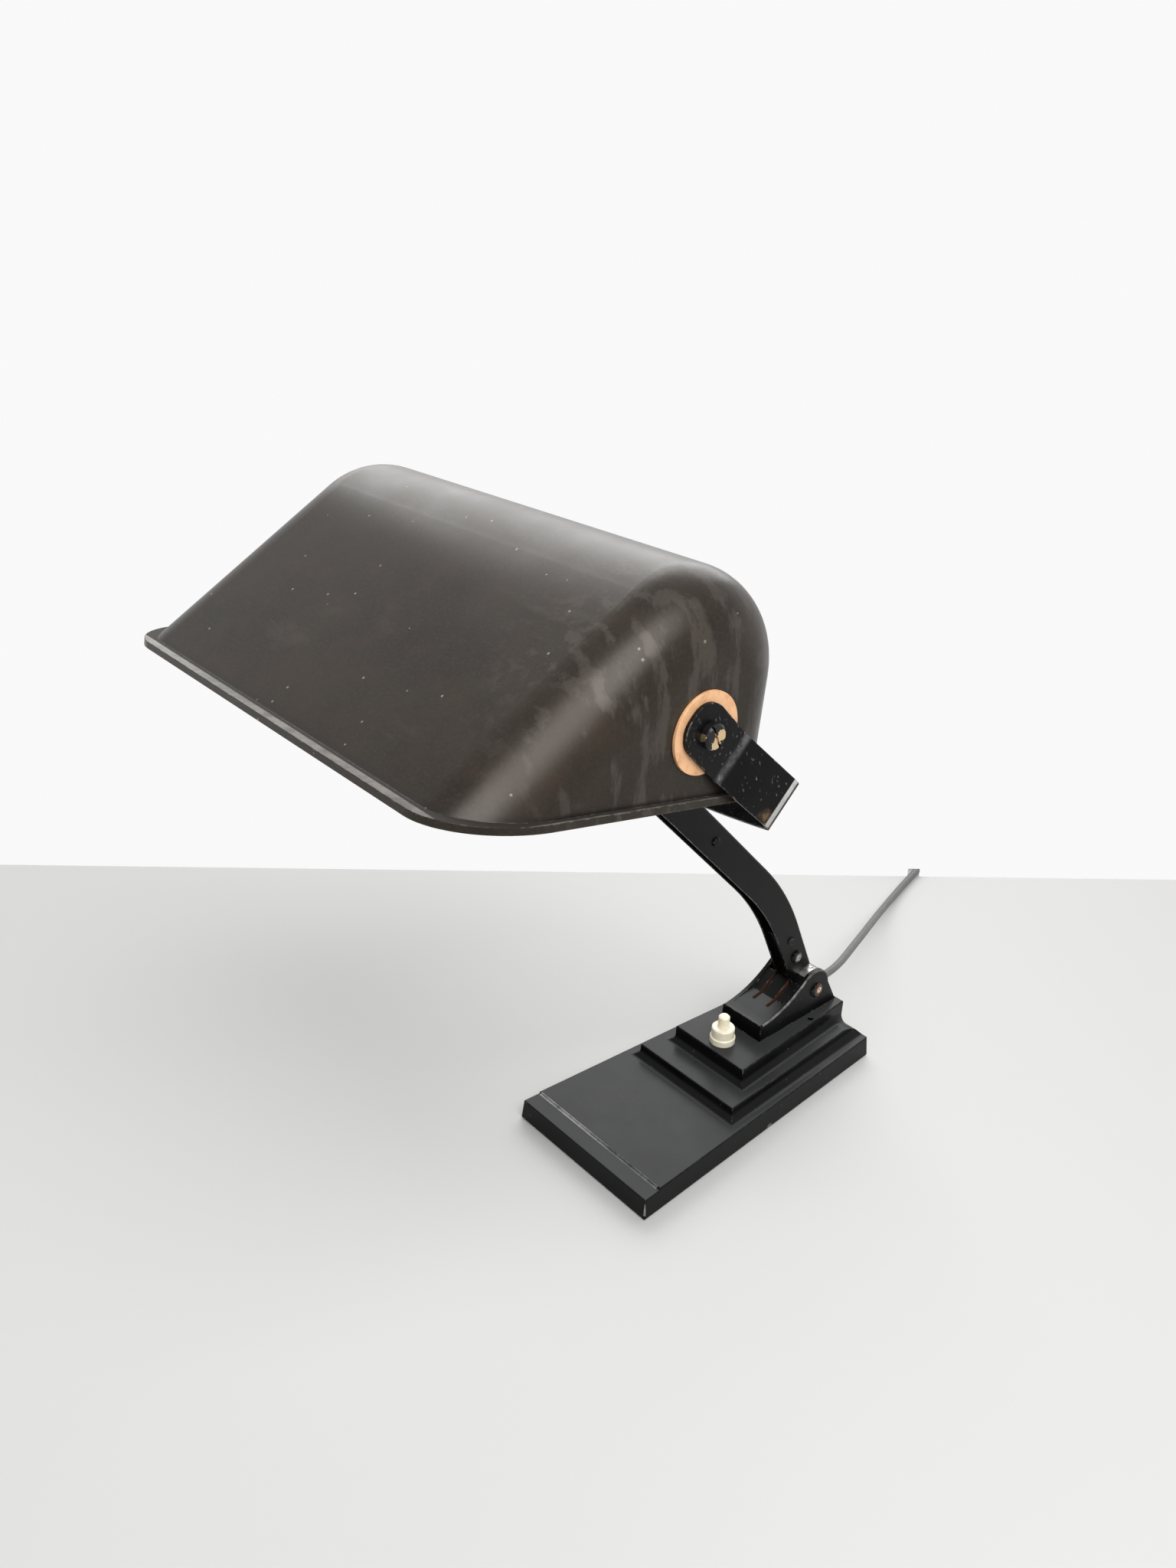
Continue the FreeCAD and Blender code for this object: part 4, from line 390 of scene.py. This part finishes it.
class Shader(NodeTree):
    """A principled material. Its plain color and roughness hold where no node takes their place."""

    def __init__(self, name, color, roughness, metallic=0.0):
        self.material = bpy.data.materials.new(name)
        super().__init__(self.material)
        self.surface = self.tree.nodes["Principled BSDF"]
        self.set("Base Color", opaque(color))
        self.set("Roughness", roughness)
        self.set("Metallic", metallic)
        self.place = self.tree.nodes.new("ShaderNodeTexCoord").outputs["Object"]

    def set(self, socket, value):
        self.feed(self.surface.inputs[socket], value)

    def coat(self, share, first, second):
        """Covers the whole piece with a mix of two colors."""
        self.color = self.mix(share, first, second)
        self.set("Base Color", self.color)

    def paint(self, share, color):
        """Lays a color over what is there, where share is one."""
        self.coat(share, self.color, color)

    def stretched(self, scales):
        return self.node("ShaderNodeMapping", {"Vector": self.place, "Scale": scales})

    def noise(self, size, detail=4.0, place=None, roughness=0.6):
        """Noise whose features are about size metres across."""
        inputs = {"Vector": place or self.place, "Scale": 1 / size, "Detail": detail, "Roughness": roughness}
        return self.node("ShaderNodeTexNoise", inputs)

    def patches(self, size, low, high, **kind):
        """Ragged patches: zero where noise is below low, one where it is above high."""
        return self.between(self.noise(size, **kind), low, high)

    def specks(self, size, share):
        """Small separate dots: about share of the cells of that size have one."""
        cells = self.tree.nodes.new("ShaderNodeTexVoronoi")
        self.feed(cells.inputs["Vector"], self.place)
        self.feed(cells.inputs["Scale"], 1 / size)
        chosen = self.node("ShaderNodeSeparateColor", {"Color": cells.outputs["Color"]})
        speck = self.math("LESS_THAN", cells.outputs["Distance"], SPECK_RADIUS)
        return self.times(speck, self.math("LESS_THAN", chosen, share))

    def flat(self):
        """The surface's direction before rounding and bumps."""
        return self.node("ShaderNodeNewGeometry", {}, output="Normal")

    def part(self, value, axis):
        """One coordinate of a vector: 0, 1 or 2 for X, Y or Z."""
        return self.node("ShaderNodeSeparateXYZ", {"Vector": value}, output=axis)

    def facing_up(self):
        """The upward part of the surface's direction, one on level tops."""
        return self.part(self.flat(), 2)

    def turned(self, way):
        """A direction of the piece's own coordinates, as the piece now stands."""
        frames = {"vector_type": "VECTOR", "convert_from": "OBJECT", "convert_to": "WORLD"}
        return self.node("ShaderNodeVectorTransform", {"Vector": way}, **frames)

    def edge_normal(self, radius):
        return self.node("ShaderNodeBevel", {"Radius": radius}, samples=4)

    def edges(self, radius):
        """One at sharp edges and zero on flats, from how far a rounded normal leans from the flat one."""
        return self.math("SUBTRACT", 1.0, self.dot(self.edge_normal(radius), self.flat()), clamp=True)

    def bump(self, height, distance, strength=1.0, edge=0.0, normal=None):
        inputs = {"Height": height, "Distance": distance, "Strength": strength}
        if normal or edge:
            inputs["Normal"] = normal or self.edge_normal(edge)
        self.set("Normal", self.node("ShaderNodeBump", inputs))

    def along(self, point, way):
        """How far the surface lies from a point in one direction."""
        return self.dot(self.vector("SUBTRACT", self.place, point), way)

    def distance(self, point):
        return self.vector("DISTANCE", self.place, point, output="Value")

    def from_axis(self, point):
        """The distance from a line along X through a point."""
        return self.vector("DISTANCE", self.stretched((0, 1, 1)), point, output="Value")

    def near(self, centre, reach):
        """One at a point of the piece, falling to zero at reach."""
        return self.opposite(self.between(self.distance(centre), reach * SPOT_CORE, reach))

    def around(self, value, middle, full, none):
        """One where a value is closer than full to the middle, zero where it is further than none."""
        away = self.math("ABSOLUTE", self.math("SUBTRACT", value, middle))
        return self.opposite(self.between(away, full, none))

    def band(self, value, low, high, soft):
        """One between low and high, zero outside, with soft borders."""
        above = self.between(value, low - soft, low + soft)
        return self.times(above, self.opposite(self.between(value, high - soft, high + soft)))

    def inside(self, low, high):
        """One inside a box of the piece's own coordinates."""
        share = 1.0
        for axis in range(3):
            middle = (low[axis] + high[axis]) / 2
            half = (high[axis] - low[axis]) / 2
            away = self.math("ABSOLUTE", self.math("SUBTRACT", self.part(self.place, axis), middle))
            share = self.times(self.math("LESS_THAN", away, half), share)
        return share

    def eased_seam(self, normal, seam, up_wall, outward, radius, reach):
        """Lets a flat wall pass into a round top gradually: the turn is spread over reach on both sides."""
        away = self.math("ABSOLUTE", self.along(seam, up_wall))
        left = self.math("SUBTRACT", 1.0, self.math("DIVIDE", away, reach), clamp=True)
        outer = self.between(self.dot(self.flat(), self.turned(outward)), 0.5, 0.9)
        inputs = {0: self.turned(up_wall), "Scale": self.times(left, left, reach / (4 * radius), outer)}
        shift = self.node("ShaderNodeVectorMath", inputs, operation="SCALE", output="Vector")
        return self.vector("NORMALIZE", self.vector("ADD", normal, shift))


# Enamel

DUST = (0.14, 0.135, 0.125)
BARE = (0.36, 0.33, 0.3)
RUST = (0.085, 0.036, 0.02)


class Enamel(Shader):
    """Old glossy stove enamel: fine orange peel, dust, and bare worn edges."""

    def __init__(self, name, dusty=0.03):
        super().__init__(name, (0.003, 0.003, 0.003), 0.3)
        cloud = self.noise(0.03, detail=6)
        self.coat(self.between(cloud, 0.35, 0.7), (0.0015, 0.0015, 0.002), (0.004, 0.004, 0.004))
        self.paint(self.times(self.specks(0.0022, dusty), 0.4), DUST)
        edge = self.between(self.edges(0.0008), 0.03, 0.12)
        worn = self.patches(0.004, 0.5, 0.6, detail=8, roughness=0.75)
        self.paint(self.times(edge, worn, 0.8), BARE)
        self.set("Specular IOR Level", 0.12)
        self.set("Roughness", self.blend(self.between(cloud, 0.3, 0.7), 0.26, 0.38))
        self.bump(self.noise(0.0025, detail=3), 0.00004, strength=0.5, edge=0.0006)


# Boxes round the base's worn places and painted highlights, as low and high corners
RAMP_SLOTS = ((-0.0071, 0.036, 0.0395), (0.0071, 0.062, 0.0565))
BETWEEN_SLOTS = ((-0.0041, 0.036, 0.0395), (0.0041, 0.062, 0.0565))
STEP_HIGHLIGHT = ((-0.0485, -0.0906, 0.0122), (0.0475, -0.0889, 0.0138))
FRONT_CORNER = ((0.0502, -0.104, 0.003), (0.054, -0.1006, 0.0128))
HOLLOW_BOX = ((0.0141, 0.0262, 0.042), (0.016, 0.0628, 0.0595))
EAR_BOX = ((0.0141, 0.0628, 0.05), (0.016, 0.0865, 0.063))
# The right cheek's rim: the centres of its hollow and its ear, and the radii that the painted highlight lies
# between
HOLLOW_CENTRE = (0.0, 0.02057, 0.10887)
HOLLOW_RIM = (0.0655, 0.0666)
EAR_CENTRE = (0.0, 0.0718, 0.0479)
EAR_RIM = (0.0131, 0.0142)
RIM_SOFT = 0.0002
FOOT_CHIP = (0.0475, 0.0035, 0.001)
FOOT_CHIP_REACH = 0.0035


def base_enamel():
    """The base: level tops painted lighter in patches as painted light, rust in the ramp's two slots, a
    painted highlight with some wear along its step line, a painted highlight along the cheek's rim, and a
    worn corner and foot.
    """
    shader = Enamel("base_enamel")
    # Painted light: level tops are painted lighter, in patches, as if catching light from above.
    level = shader.between(shader.facing_up(), 0.9, 0.99)
    top_light_patches = shader.patches(0.05, 0.25, 0.75, detail=5)
    shader.paint(shader.times(level, shader.blend(top_light_patches, 0.75, 1.0)), (0.036, 0.037, 0.038))
    slots = shader.math("SUBTRACT", shader.inside(*RAMP_SLOTS), shader.inside(*BETWEEN_SLOTS))
    not_up = shader.opposite(shader.between(shader.facing_up(), 0.2, 0.6))
    shader.paint(shader.times(slots, not_up), RUST)
    ragged = shader.patches(0.005, 0.3, 0.62, detail=5)
    to_right = shader.between(shader.part(shader.place, 0), -0.02, 0.02)
    # Painted highlight along the step line, brighter to the left, with some wear.
    step_highlight = shader.times(shader.inside(*STEP_HIGHLIGHT), shader.blend(to_right, 1.0, 0.4))
    shader.paint(shader.times(step_highlight, shader.blend(ragged, 0.35, 0.85)), (0.42, 0.42, 0.41))
    shader.paint(shader.times(shader.inside(*FRONT_CORNER), shader.blend(ragged, 0.3, 0.8)), BARE)
    # Painted highlight along the right cheek's rim, over its hollow and its ear.
    hollow = shader.band(shader.from_axis(HOLLOW_CENTRE), *HOLLOW_RIM, RIM_SOFT)
    hollow = shader.times(hollow, shader.inside(*HOLLOW_BOX))
    ear = shader.band(shader.from_axis(EAR_CENTRE), *EAR_RIM, RIM_SOFT)
    ear = shader.times(ear, shader.inside(*EAR_BOX), 0.6)
    rim_highlight = shader.math("MAXIMUM", hollow, ear)
    shader.paint(shader.times(rim_highlight, shader.blend(ragged, 0.2, 0.8)), (0.24, 0.24, 0.235))
    shader.paint(shader.times(shader.near(FOOT_CHIP, FOOT_CHIP_REACH), ragged), (0.4, 0.37, 0.33))
    return shader


# The strap of the yoke: its pivot, the way down it, and how far down its crease and its fold lie
PIVOT = (0.0, -0.1593, 0.3163)
STRAP_DOWN = (0.0, 0.7018, -0.7124)
CREASE_AT = 0.0175
FOLD_AT = 0.0467
STRAP_INSIDE = 0.125
FOLD_CORNER = (0.1306, -0.1341, 0.2779)
FOLD_CORNER_REACH = 0.0065


def yoke_enamel():
    """The strip: scratched and speckled, with a painted highlight and some wear along its crease, a painted
    reflection along its fold, and brown at the fold's front corner.
    """
    shader = Enamel("yoke_enamel", dusty=0.06)
    down = shader.along(PIVOT, STRAP_DOWN)
    cloud = shader.patches(0.006, 0.4, 0.62, detail=7, roughness=0.7)
    # Painted highlight: a lighter band along the crease, with some wear.
    crease_highlight = shader.around(down, CREASE_AT, 0.0002, 0.0026)
    shader.paint(shader.times(crease_highlight, shader.blend(cloud, 0.3, 0.9)), (0.11, 0.11, 0.11))
    scratches = shader.patches(0.0012, 0.625, 0.69, detail=3, place=shader.stretched((0.3, 1.0, 0.45)))
    shader.paint(shader.times(scratches, cloud, 0.6), (0.26, 0.25, 0.24))
    outer = shader.math("GREATER_THAN", shader.math("ABSOLUTE", shader.part(shader.place, 0)), STRAP_INSIDE)
    # Painted reflection: a pale stripe along the outer fold.
    fold_reflection = shader.times(shader.around(down, FOLD_AT, 0.0009, 0.0014), outer)
    shader.paint(shader.times(fold_reflection, shader.blend(cloud, 0.75, 1.0)), (0.5, 0.5, 0.49))
    brown = shader.near(FOLD_CORNER, FOLD_CORNER_REACH)
    shader.paint(shader.times(brown, cloud, 0.7), (0.22, 0.14, 0.08))
    return shader


# Where the pivot screw's head is chipped, and how far: two spots beside its slot and its left side
SCREW_CHIPS = (
    ((0.1243, -0.1596, 0.3141), 0.0023),
    ((0.1243, -0.1571, 0.3166), 0.0022),
    ((0.1218, -0.1638, 0.3168), 0.0016),
)
CHIP_RAGGEDNESS = 1.8


def chipped_screw():
    """Black enamel over brass, chipped to the metal on the middle of its head."""
    shader = Shader("chipped_screw", (0.01, 0.01, 0.011), 0.3)
    wander = shader.times(shader.math("SUBTRACT", shader.noise(0.0016, detail=4), 0.5), CHIP_RAGGEDNESS)
    bare = 0.0
    for centre, reach in SCREW_CHIPS:
        ragged = shader.math("ADD", shader.math("DIVIDE", shader.distance(centre), reach), wander)
        bare = shader.math("MAXIMUM", bare, shader.opposite(shader.between(ragged, 0.9, 1.05)))
    shader.coat(bare, (0.008, 0.008, 0.009), (0.75, 0.56, 0.33))
    shader.set("Metallic", bare)
    shader.set("Roughness", shader.blend(bare, 0.24, 0.4))
    shader.set("Specular IOR Level", 0.25)
    shader.bump(bare, -0.00006, strength=0.4, edge=0.0003)
    return shader


def worn_head(name, centre, reach, bright, stain=None):
    """Black enamel worn to metal in the middle of a head, with a stain round it."""
    shader = Enamel(name)
    ragged = shader.patches(0.002, 0.36, 0.5, detail=6, roughness=0.7)
    if stain:
        shader.paint(shader.times(shader.near(centre, reach * 2), shader.blend(ragged, 0.3, 1.0)), stain)
    shader.paint(shader.times(shader.near(centre, reach), ragged), bright)
    return shader


# The hinge barrel's top, bare metal painted pale as a highlight, as a box, and its rusty spot
BARREL_TOP = ((-0.012, 0.062, 0.0578), (0.012, 0.085, 0.0606))
BARREL_RUST = (0.007, 0.0805, 0.0565)
BARREL_RUST_REACH = 0.005


def worn_barrel():
    """The hinge barrel: enamel rubbed to bare metal along its top and painted pale there as a painted
    highlight, with a rusty spot at the back.
    """
    shader = Enamel("barrel_enamel")
    ragged = shader.patches(0.004, 0.3, 0.5, detail=5)
    # The top is bare metal painted pale, which is also a painted highlight.
    top = shader.times(shader.inside(*BARREL_TOP), ragged)
    shader.paint(top, (0.5, 0.49, 0.47))
    shader.set("Metallic", top)
    rusty = shader.near(BARREL_RUST, BARREL_RUST_REACH)
    shader.paint(shader.times(rusty, shader.blend(ragged, 0.5, 1.0)), (0.3, 0.16, 0.06))
    return shader


# The shade: the way up its axis, how far along it the rim lies, and heights over the rim
SHADE_UP = (0.0, 0.1805, 0.9836)
SHADE_RIM = 0.2545
LIP_HEIGHT = (0.0028, 0.0034)
DARK_BAND_HEIGHT = (0.0026, 0.0045)
DARK_BAND_SOFT = 0.0004
# The line where its front wall meets its round top, the way up that wall and the way out of it
SHADE_SEAM = (0.0, -0.1733, 0.3635)
UP_SHADE_FRONT = (0.0, 0.852, 0.524)
OUT_OF_SHADE_FRONT = (0.0, -0.524, 0.852)
SHADE_TOP_RADIUS = 0.04
SEAM_REACH = 0.026
# Where the painted highlight line at the edge of the lip's ledge begins: out of the front wall, and along
# each end
FRONT_HIGHLIGHT_LINE = (0.00105, 0.00125)
END_HIGHLIGHT_LINE = (0.1192, 0.1196)
# The rubbed place over the right pivot
RUBBED_AT = (0.118, -0.18, 0.325)
RUBBED_REACH = 0.075


def shade_moulding():
    """Dark brown phenolic: mottled, satin, scuffed and freckled, with its ledge darkened as painted shade
    and duller, and a painted highlight with some wear along the ledge's edge.
    """
    shader = Shader("shade_moulding", (0.04, 0.033, 0.027), 0.4)
    mottle = shader.noise(0.045, detail=7, roughness=0.62)
    shader.coat(shader.between(mottle, 0.3, 0.72), (0.006, 0.0042, 0.0025), (0.016, 0.0115, 0.0073))
    grain = shader.noise(0.0012, detail=3)
    shader.paint(shader.between(grain, 0.4, 0.9), (0.026, 0.0195, 0.0145))
    reddish = shader.patches(0.014, 0.48, 0.68, detail=9, roughness=0.72)
    shader.paint(shader.times(reddish, 0.6), (0.024, 0.0135, 0.0085))
    shader.paint(shader.times(shader.specks(0.0026, 0.018), 0.6), (0.3, 0.27, 0.23))
    lying = shader.stretched((0.35, 1.0, 1.4))
    scuffs = shader.patches(0.02, 0.58, 0.74, detail=8, roughness=0.7, place=lying)
    shader.paint(shader.times(scuffs, 0.14), (0.11, 0.095, 0.08))
    upright = shader.stretched((1.0, 1.5, 0.45))
    strokes = shader.patches(0.011, 0.5, 0.62, detail=6, place=upright)
    rubbed = shader.times(strokes, shader.near(RUBBED_AT, RUBBED_REACH))
    shader.paint(shader.times(rubbed, 0.28), (0.11, 0.095, 0.082))

    above_rim = shader.math("SUBTRACT", shader.dot(shader.place, SHADE_UP), SHADE_RIM)
    # A darker band just above the lip, at the foot of the wall.
    darkening = shader.band(above_rim, *DARK_BAND_HEIGHT, DARK_BAND_SOFT)
    shader.paint(shader.times(darkening, 0.6), (0.008, 0.007, 0.006))
    lip = shader.opposite(shader.between(above_rim, *LIP_HEIGHT))
    edge = shader.between(shader.edges(0.0007), 0.02, 0.1)
    worn = shader.patches(0.003, 0.5, 0.6, detail=8, roughness=0.7)
    shader.paint(shader.times(edge, worn, lip, 0.7), (0.2, 0.185, 0.165))
    along_axis = shader.dot(shader.flat(), shader.turned(SHADE_UP))
    ledge = shader.times(lip, shader.between(along_axis, 0.85, 0.95))
    # Painted highlight with some wear: a pale broken line along the outer edge of the ledge.
    front_highlight = shader.between(shader.along(SHADE_SEAM, OUT_OF_SHADE_FRONT), *FRONT_HIGHLIGHT_LINE)
    end_highlight = shader.between(shader.math("ABSOLUTE", shader.part(shader.place, 0)), *END_HIGHLIGHT_LINE)
    line = shader.times(shader.math("MAXIMUM", front_highlight, end_highlight), ledge)
    # Painted shade: the ledge is darkened and made duller, except along its edge line.
    dull_shaded_ledge = shader.math("SUBTRACT", ledge, line)
    shader.paint(dull_shaded_ledge, (0.014, 0.011, 0.0088))
    broken = shader.blend(shader.patches(0.006, 0.35, 0.65, detail=6), 0.25, 0.9)
    shader.paint(shader.times(line, broken), (0.17, 0.16, 0.145))

    rough = shader.blend(shader.between(mottle, 0.3, 0.7), 0.3, 0.4)
    rough = shader.math("SUBTRACT", rough, shader.times(rubbed, 0.06))
    shader.set("Roughness", shader.blend(dull_shaded_ledge, rough, 0.85))
    shader.set("Specular IOR Level", 0.3)
    shader.set("Specular Tint", (1.0, 0.92, 0.84, 1))
    shader.set("Sheen Weight", 0.05)
    shader.set("Sheen Roughness", 0.35)
    seam = (SHADE_SEAM, UP_SHADE_FRONT, OUT_OF_SHADE_FRONT, SHADE_TOP_RADIUS, SEAM_REACH)
    normal = shader.eased_seam(shader.edge_normal(0.0006), *seam)
    shader.bump(grain, 0.00002, strength=0.4, normal=normal)
    return shader


def ivory_moulding():
    shader = Shader("ivory_moulding", (0.88, 0.82, 0.66), 0.3)
    shader.coat(shader.patches(0.004, 0.35, 0.75, detail=5), (0.96, 0.87, 0.68), (0.91, 0.8, 0.57))
    # Darker patches of dirt.
    darkening = shader.patches(0.0015, 0.64, 0.74, detail=6)
    shader.paint(shader.times(darkening, 0.35), (0.25, 0.19, 0.11))
    shader.set("Subsurface Weight", 0.1)
    shader.bump(shader.noise(0.001, detail=2), 0.00003, strength=0.4, edge=0.0004)
    return shader


def copper():
    """Copper-coloured ring, dull and lightly stained."""
    shader = Shader("copper", (0.9, 0.6, 0.36), 0.42, metallic=0.2)
    stain = shader.patches(0.005, 0.4, 0.75, detail=6, roughness=0.65)
    shader.coat(stain, (0.86, 0.5, 0.27), (0.66, 0.33, 0.15))
    shader.bump(shader.noise(0.0012, detail=3), 0.00003, strength=0.5, edge=0.0003)
    return shader


STAIN_ROUGHER = 0.25


def metal(name, color, dark, roughness, size=0.006):
    """Bare metal with darker and duller stains."""
    shader = Shader(name, color, roughness, metallic=1.0)
    stain = shader.patches(size, 0.4, 0.72, detail=7, roughness=0.7)
    shader.coat(stain, color, dark)
    shader.set("Roughness", shader.blend(stain, roughness, roughness + STAIN_ROUGHER))
    shader.bump(shader.noise(0.0009, detail=3), 0.00003, strength=0.5, edge=0.0003)
    return shader


def plain(name, color, other, roughness, size):
    """A dull or glossy surface with gentle variation, for what hardly shows."""
    shader = Shader(name, color, roughness)
    shader.coat(shader.patches(size, 0.3, 0.75, detail=6), color, other)
    shader.bump(shader.noise(size / 4, detail=3), size / 60, strength=0.4, edge=0.0004)
    return shader


def bulb_frost():
    shader = Shader("bulb_frost", (0.9, 0.9, 0.88), 0.35)
    shader.set("Transmission Weight", 0.6)
    shader.bump(shader.noise(0.0006, detail=2), 0.00002, strength=0.3)
    return shader


def cord_grey():
    shader = Shader("cord_grey", (0.11, 0.11, 0.11), 0.5)
    shader.coat(shader.noise(0.006, detail=4), (0.07, 0.07, 0.072), (0.17, 0.17, 0.17))
    shader.bump(shader.noise(0.0008, detail=2), 0.00005)
    return shader.material


WEAVE_SCALE = 400.0


def woven_tape():
    shader = plain("tie_tape", (0.05, 0.05, 0.05), (0.09, 0.09, 0.09), 0.85, 0.001)
    inputs = {"Vector": shader.place, "Scale": WEAVE_SCALE, "Distortion": 0.5}
    shader.bump(shader.node("ShaderNodeTexWave", inputs), 0.00006, strength=0.6)
    return shader.material


def felt():
    shader = plain("felt", (0.03, 0.05, 0.04), (0.05, 0.075, 0.06), 0.95, 0.002)
    shader.set("Sheen Weight", 0.4)
    return shader.material


# The worn middle of the hinge pin's right head
PIN_SPOT = (0.0169, 0.0745, 0.0485)


def right_face_middle(name):
    """The middle of the right end of a CAD node."""
    low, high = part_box(name)
    return (high[0], (low[1] + high[1]) / 2, (low[2] + high[2]) / 2)


def dress_nodes():
    """Gives each CAD node the material made for it, or else the one of its slot."""
    by_slot = {
        "black_enamel": Enamel("black_enamel"),
        "shade_moulding": shade_moulding(),
        "ivory_moulding": ivory_moulding(),
        "copper": copper(),
        "brass": metal("brass", (0.5, 0.34, 0.22), (0.07, 0.045, 0.03), 0.4, size=0.003),
        "plain_steel": metal("plain_steel", (0.45, 0.44, 0.42), (0.25, 0.22, 0.19), 0.38),
        "iron": plain("iron", (0.05, 0.05, 0.05), (0.09, 0.08, 0.07), 0.7, 0.004),
        "dark_moulding": plain("dark_moulding", (0.018, 0.015, 0.013), (0.035, 0.028, 0.022), 0.35, 0.012),
        "porcelain": plain("porcelain", (0.8, 0.79, 0.74), (0.7, 0.68, 0.62), 0.2, 0.01),
        "bulb_glass": bulb_frost(),
    }
    by_node = {
        "base_shell": base_enamel(),
        "yoke": yoke_enamel(),
        "pivot_screw": chipped_screw(),
        "hinge_pin": worn_head("pin_enamel", PIN_SPOT, 0.0026, (0.75, 0.6, 0.47), (0.13, 0.07, 0.04)),
        "arm_knuckle": worn_barrel(),
        "foot_screw": worn_head("screw_enamel", right_face_middle("foot_screw"), 0.0034, (0.36, 0.34, 0.31)),
    }
    for part in frame["record"]["subparts"]:
        shader = by_node.get(part["node"]) or by_slot.get(part["material_slot"])
        if shader:
            materials = nodes[part["node"]].data.materials
            materials.clear()
            materials.append(shader.material)


# Stage: a pale floor and a low pale board along the table's far edge, which closes the view

PALE = 0.95
FLOOR_HALF = 4.0
BOARD_POINT = Vector((-0.0336, 0.3632, 0))
BOARD_ALONG = Vector((0.635, 0.772, 0)).normalized()
BOARD_OUTWARD = Vector((-BOARD_ALONG.y, BOARD_ALONG.x, 0))
BOARD_HALF = 1.6
BOARD_HEIGHT = 0.09
BOARD_THICKNESS = 0.002
NOTCH_HALF = CORD_DIAMETER
NOTCH_HEIGHT = 1.4 * CORD_DIAMETER
# Where the floor passes into the background: distances from the lamp, and beyond the board
FADE_AROUND = (0.6, 1.2)
FADE_BEYOND = (0.1, 0.18)


def pale_material(name, all_white=False):
    """Pale and shaded near the lamp, and the even white of the background further off."""
    shader = Shader(name, (0.55, 0.55, 0.54), 0.6)
    fade = 1.0
    if not all_white:
        around = shader.between(shader.vector("LENGTH", shader.place, output="Value"), *FADE_AROUND)
        beyond = shader.between(shader.along(BOARD_POINT, BOARD_OUTWARD), *FADE_BEYOND)
        fade = shader.math("MAXIMUM", around, beyond)
    white = shader.node("ShaderNodeEmission", {"Color": (PALE, PALE, PALE, 1), "Strength": 1.0})
    inputs = {0: shader.times(fade, shader.seen()), 1: shader.surface.outputs[0], 2: white}
    output = shader.tree.nodes["Material Output"]
    shader.feed(output.inputs["Surface"], shader.node("ShaderNodeMixShader", inputs))
    shader.bump(shader.noise(0.002, detail=2), 0.00002, strength=0.2)
    return shader.material


def make_floor():
    half = FLOOR_HALF
    mesh = bpy.data.meshes.new("floor")
    corners = [(-half, -half, 0), (half, -half, 0), (half, half, 0), (-half, half, 0)]
    mesh.from_pydata(corners, [], [(0, 1, 2, 3)])
    mesh.materials.append(pale_material("floor_pale"))
    return add_object("floor", mesh)


def make_board():
    """The board, with a small notch at its foot where the cord runs through."""
    crossing = (Vector(CORD_ROUTE[-2]) - BOARD_POINT).dot(BOARD_ALONG)
    profile = [
        (-BOARD_HALF, 0),
        (crossing - NOTCH_HALF, 0),
        (crossing - NOTCH_HALF, NOTCH_HEIGHT),
        (crossing + NOTCH_HALF, NOTCH_HEIGHT),
        (crossing + NOTCH_HALF, 0),
        (BOARD_HALF, 0),
        (BOARD_HALF, BOARD_HEIGHT),
        (-BOARD_HALF, BOARD_HEIGHT),
    ]
    near = [BOARD_POINT + BOARD_ALONG * along + Vector((0, 0, up)) for along, up in profile]
    far = [point + BOARD_OUTWARD * BOARD_THICKNESS for point in near]
    count = len(profile)
    faces = [tuple(range(count)), tuple(range(2 * count - 1, count - 1, -1))]
    for index in range(count):
        following = (index + 1) % count
        faces.append((index, index + count, following + count, following))
    mesh = bpy.data.meshes.new("backdrop")
    mesh.from_pydata(near + far, [], faces)
    mesh.materials.append(pale_material("backdrop_pale", all_white=True))
    board = add_object("backdrop", mesh)
    # It only closes the view: it neither shades the floor nor shows in glossy pieces.
    board.visible_shadow = False
    board.visible_diffuse = False
    board.visible_glossy = False
    return board


def make_stage():
    floor = make_floor()
    board = make_board()


# Light: a pale room and three soft lamps

ROOM_LEVEL = 0.17
# Where the room is brighter: the direction, the dot product where that begins and is full, and how much
ROOM_BRIGHTER = (
    ((-0.35, 0.94, 0.0), 0.15, 0.9, 0.82),
    ((0.15, 0.0, 0.99), 0.45, 0.95, 0.26),
)
# Each lamp's place, size and watts
LAMPS = {
    "back_softbox": ((-1.05, 0.95, 1.2), (2.0, 1.2), 21),
    "right_softbox": ((0.72, -0.42, 1.28), (0.98, 0.82), 19),
    "front_softbox": ((1.0, -1.3, 0.75), (1.0, 1.0), 3),
}
LAMP_TARGET = Vector((0, -0.05, 0.15))


def make_light():
    """A pale room, bright behind the lamp and dim in front, and three soft lamps."""
    scene.world = bpy.data.worlds.new("room")
    room = NodeTree(scene.world)
    direction = room.tree.nodes.new("ShaderNodeTexCoord").outputs["Generated"]
    level = ROOM_LEVEL
    for way, low, high, strength in ROOM_BRIGHTER:
        level = room.math("ADD", level, room.between(room.dot(direction, way), low, high, strength))
    background = room.tree.nodes["Background"].inputs
    room.feed(background["Color"], (1, 1, 1, 1))
    room.feed(background["Strength"], room.blend(room.seen(), level, PALE))
    for name, (place, size, watts) in LAMPS.items():
        data = bpy.data.lights.new(name, "AREA")
        data.shape = "RECTANGLE"
        data.size, data.size_y = size
        data.energy = watts
        lamp = add_object(name, data)
        lamp.location = place
        lamp.rotation_euler = (LAMP_TARGET - Vector(place)).to_track_quat("-Z", "Y").to_euler()


make_camera()
dress_nodes()
make_cord()
make_felt()
make_stage()
make_light()
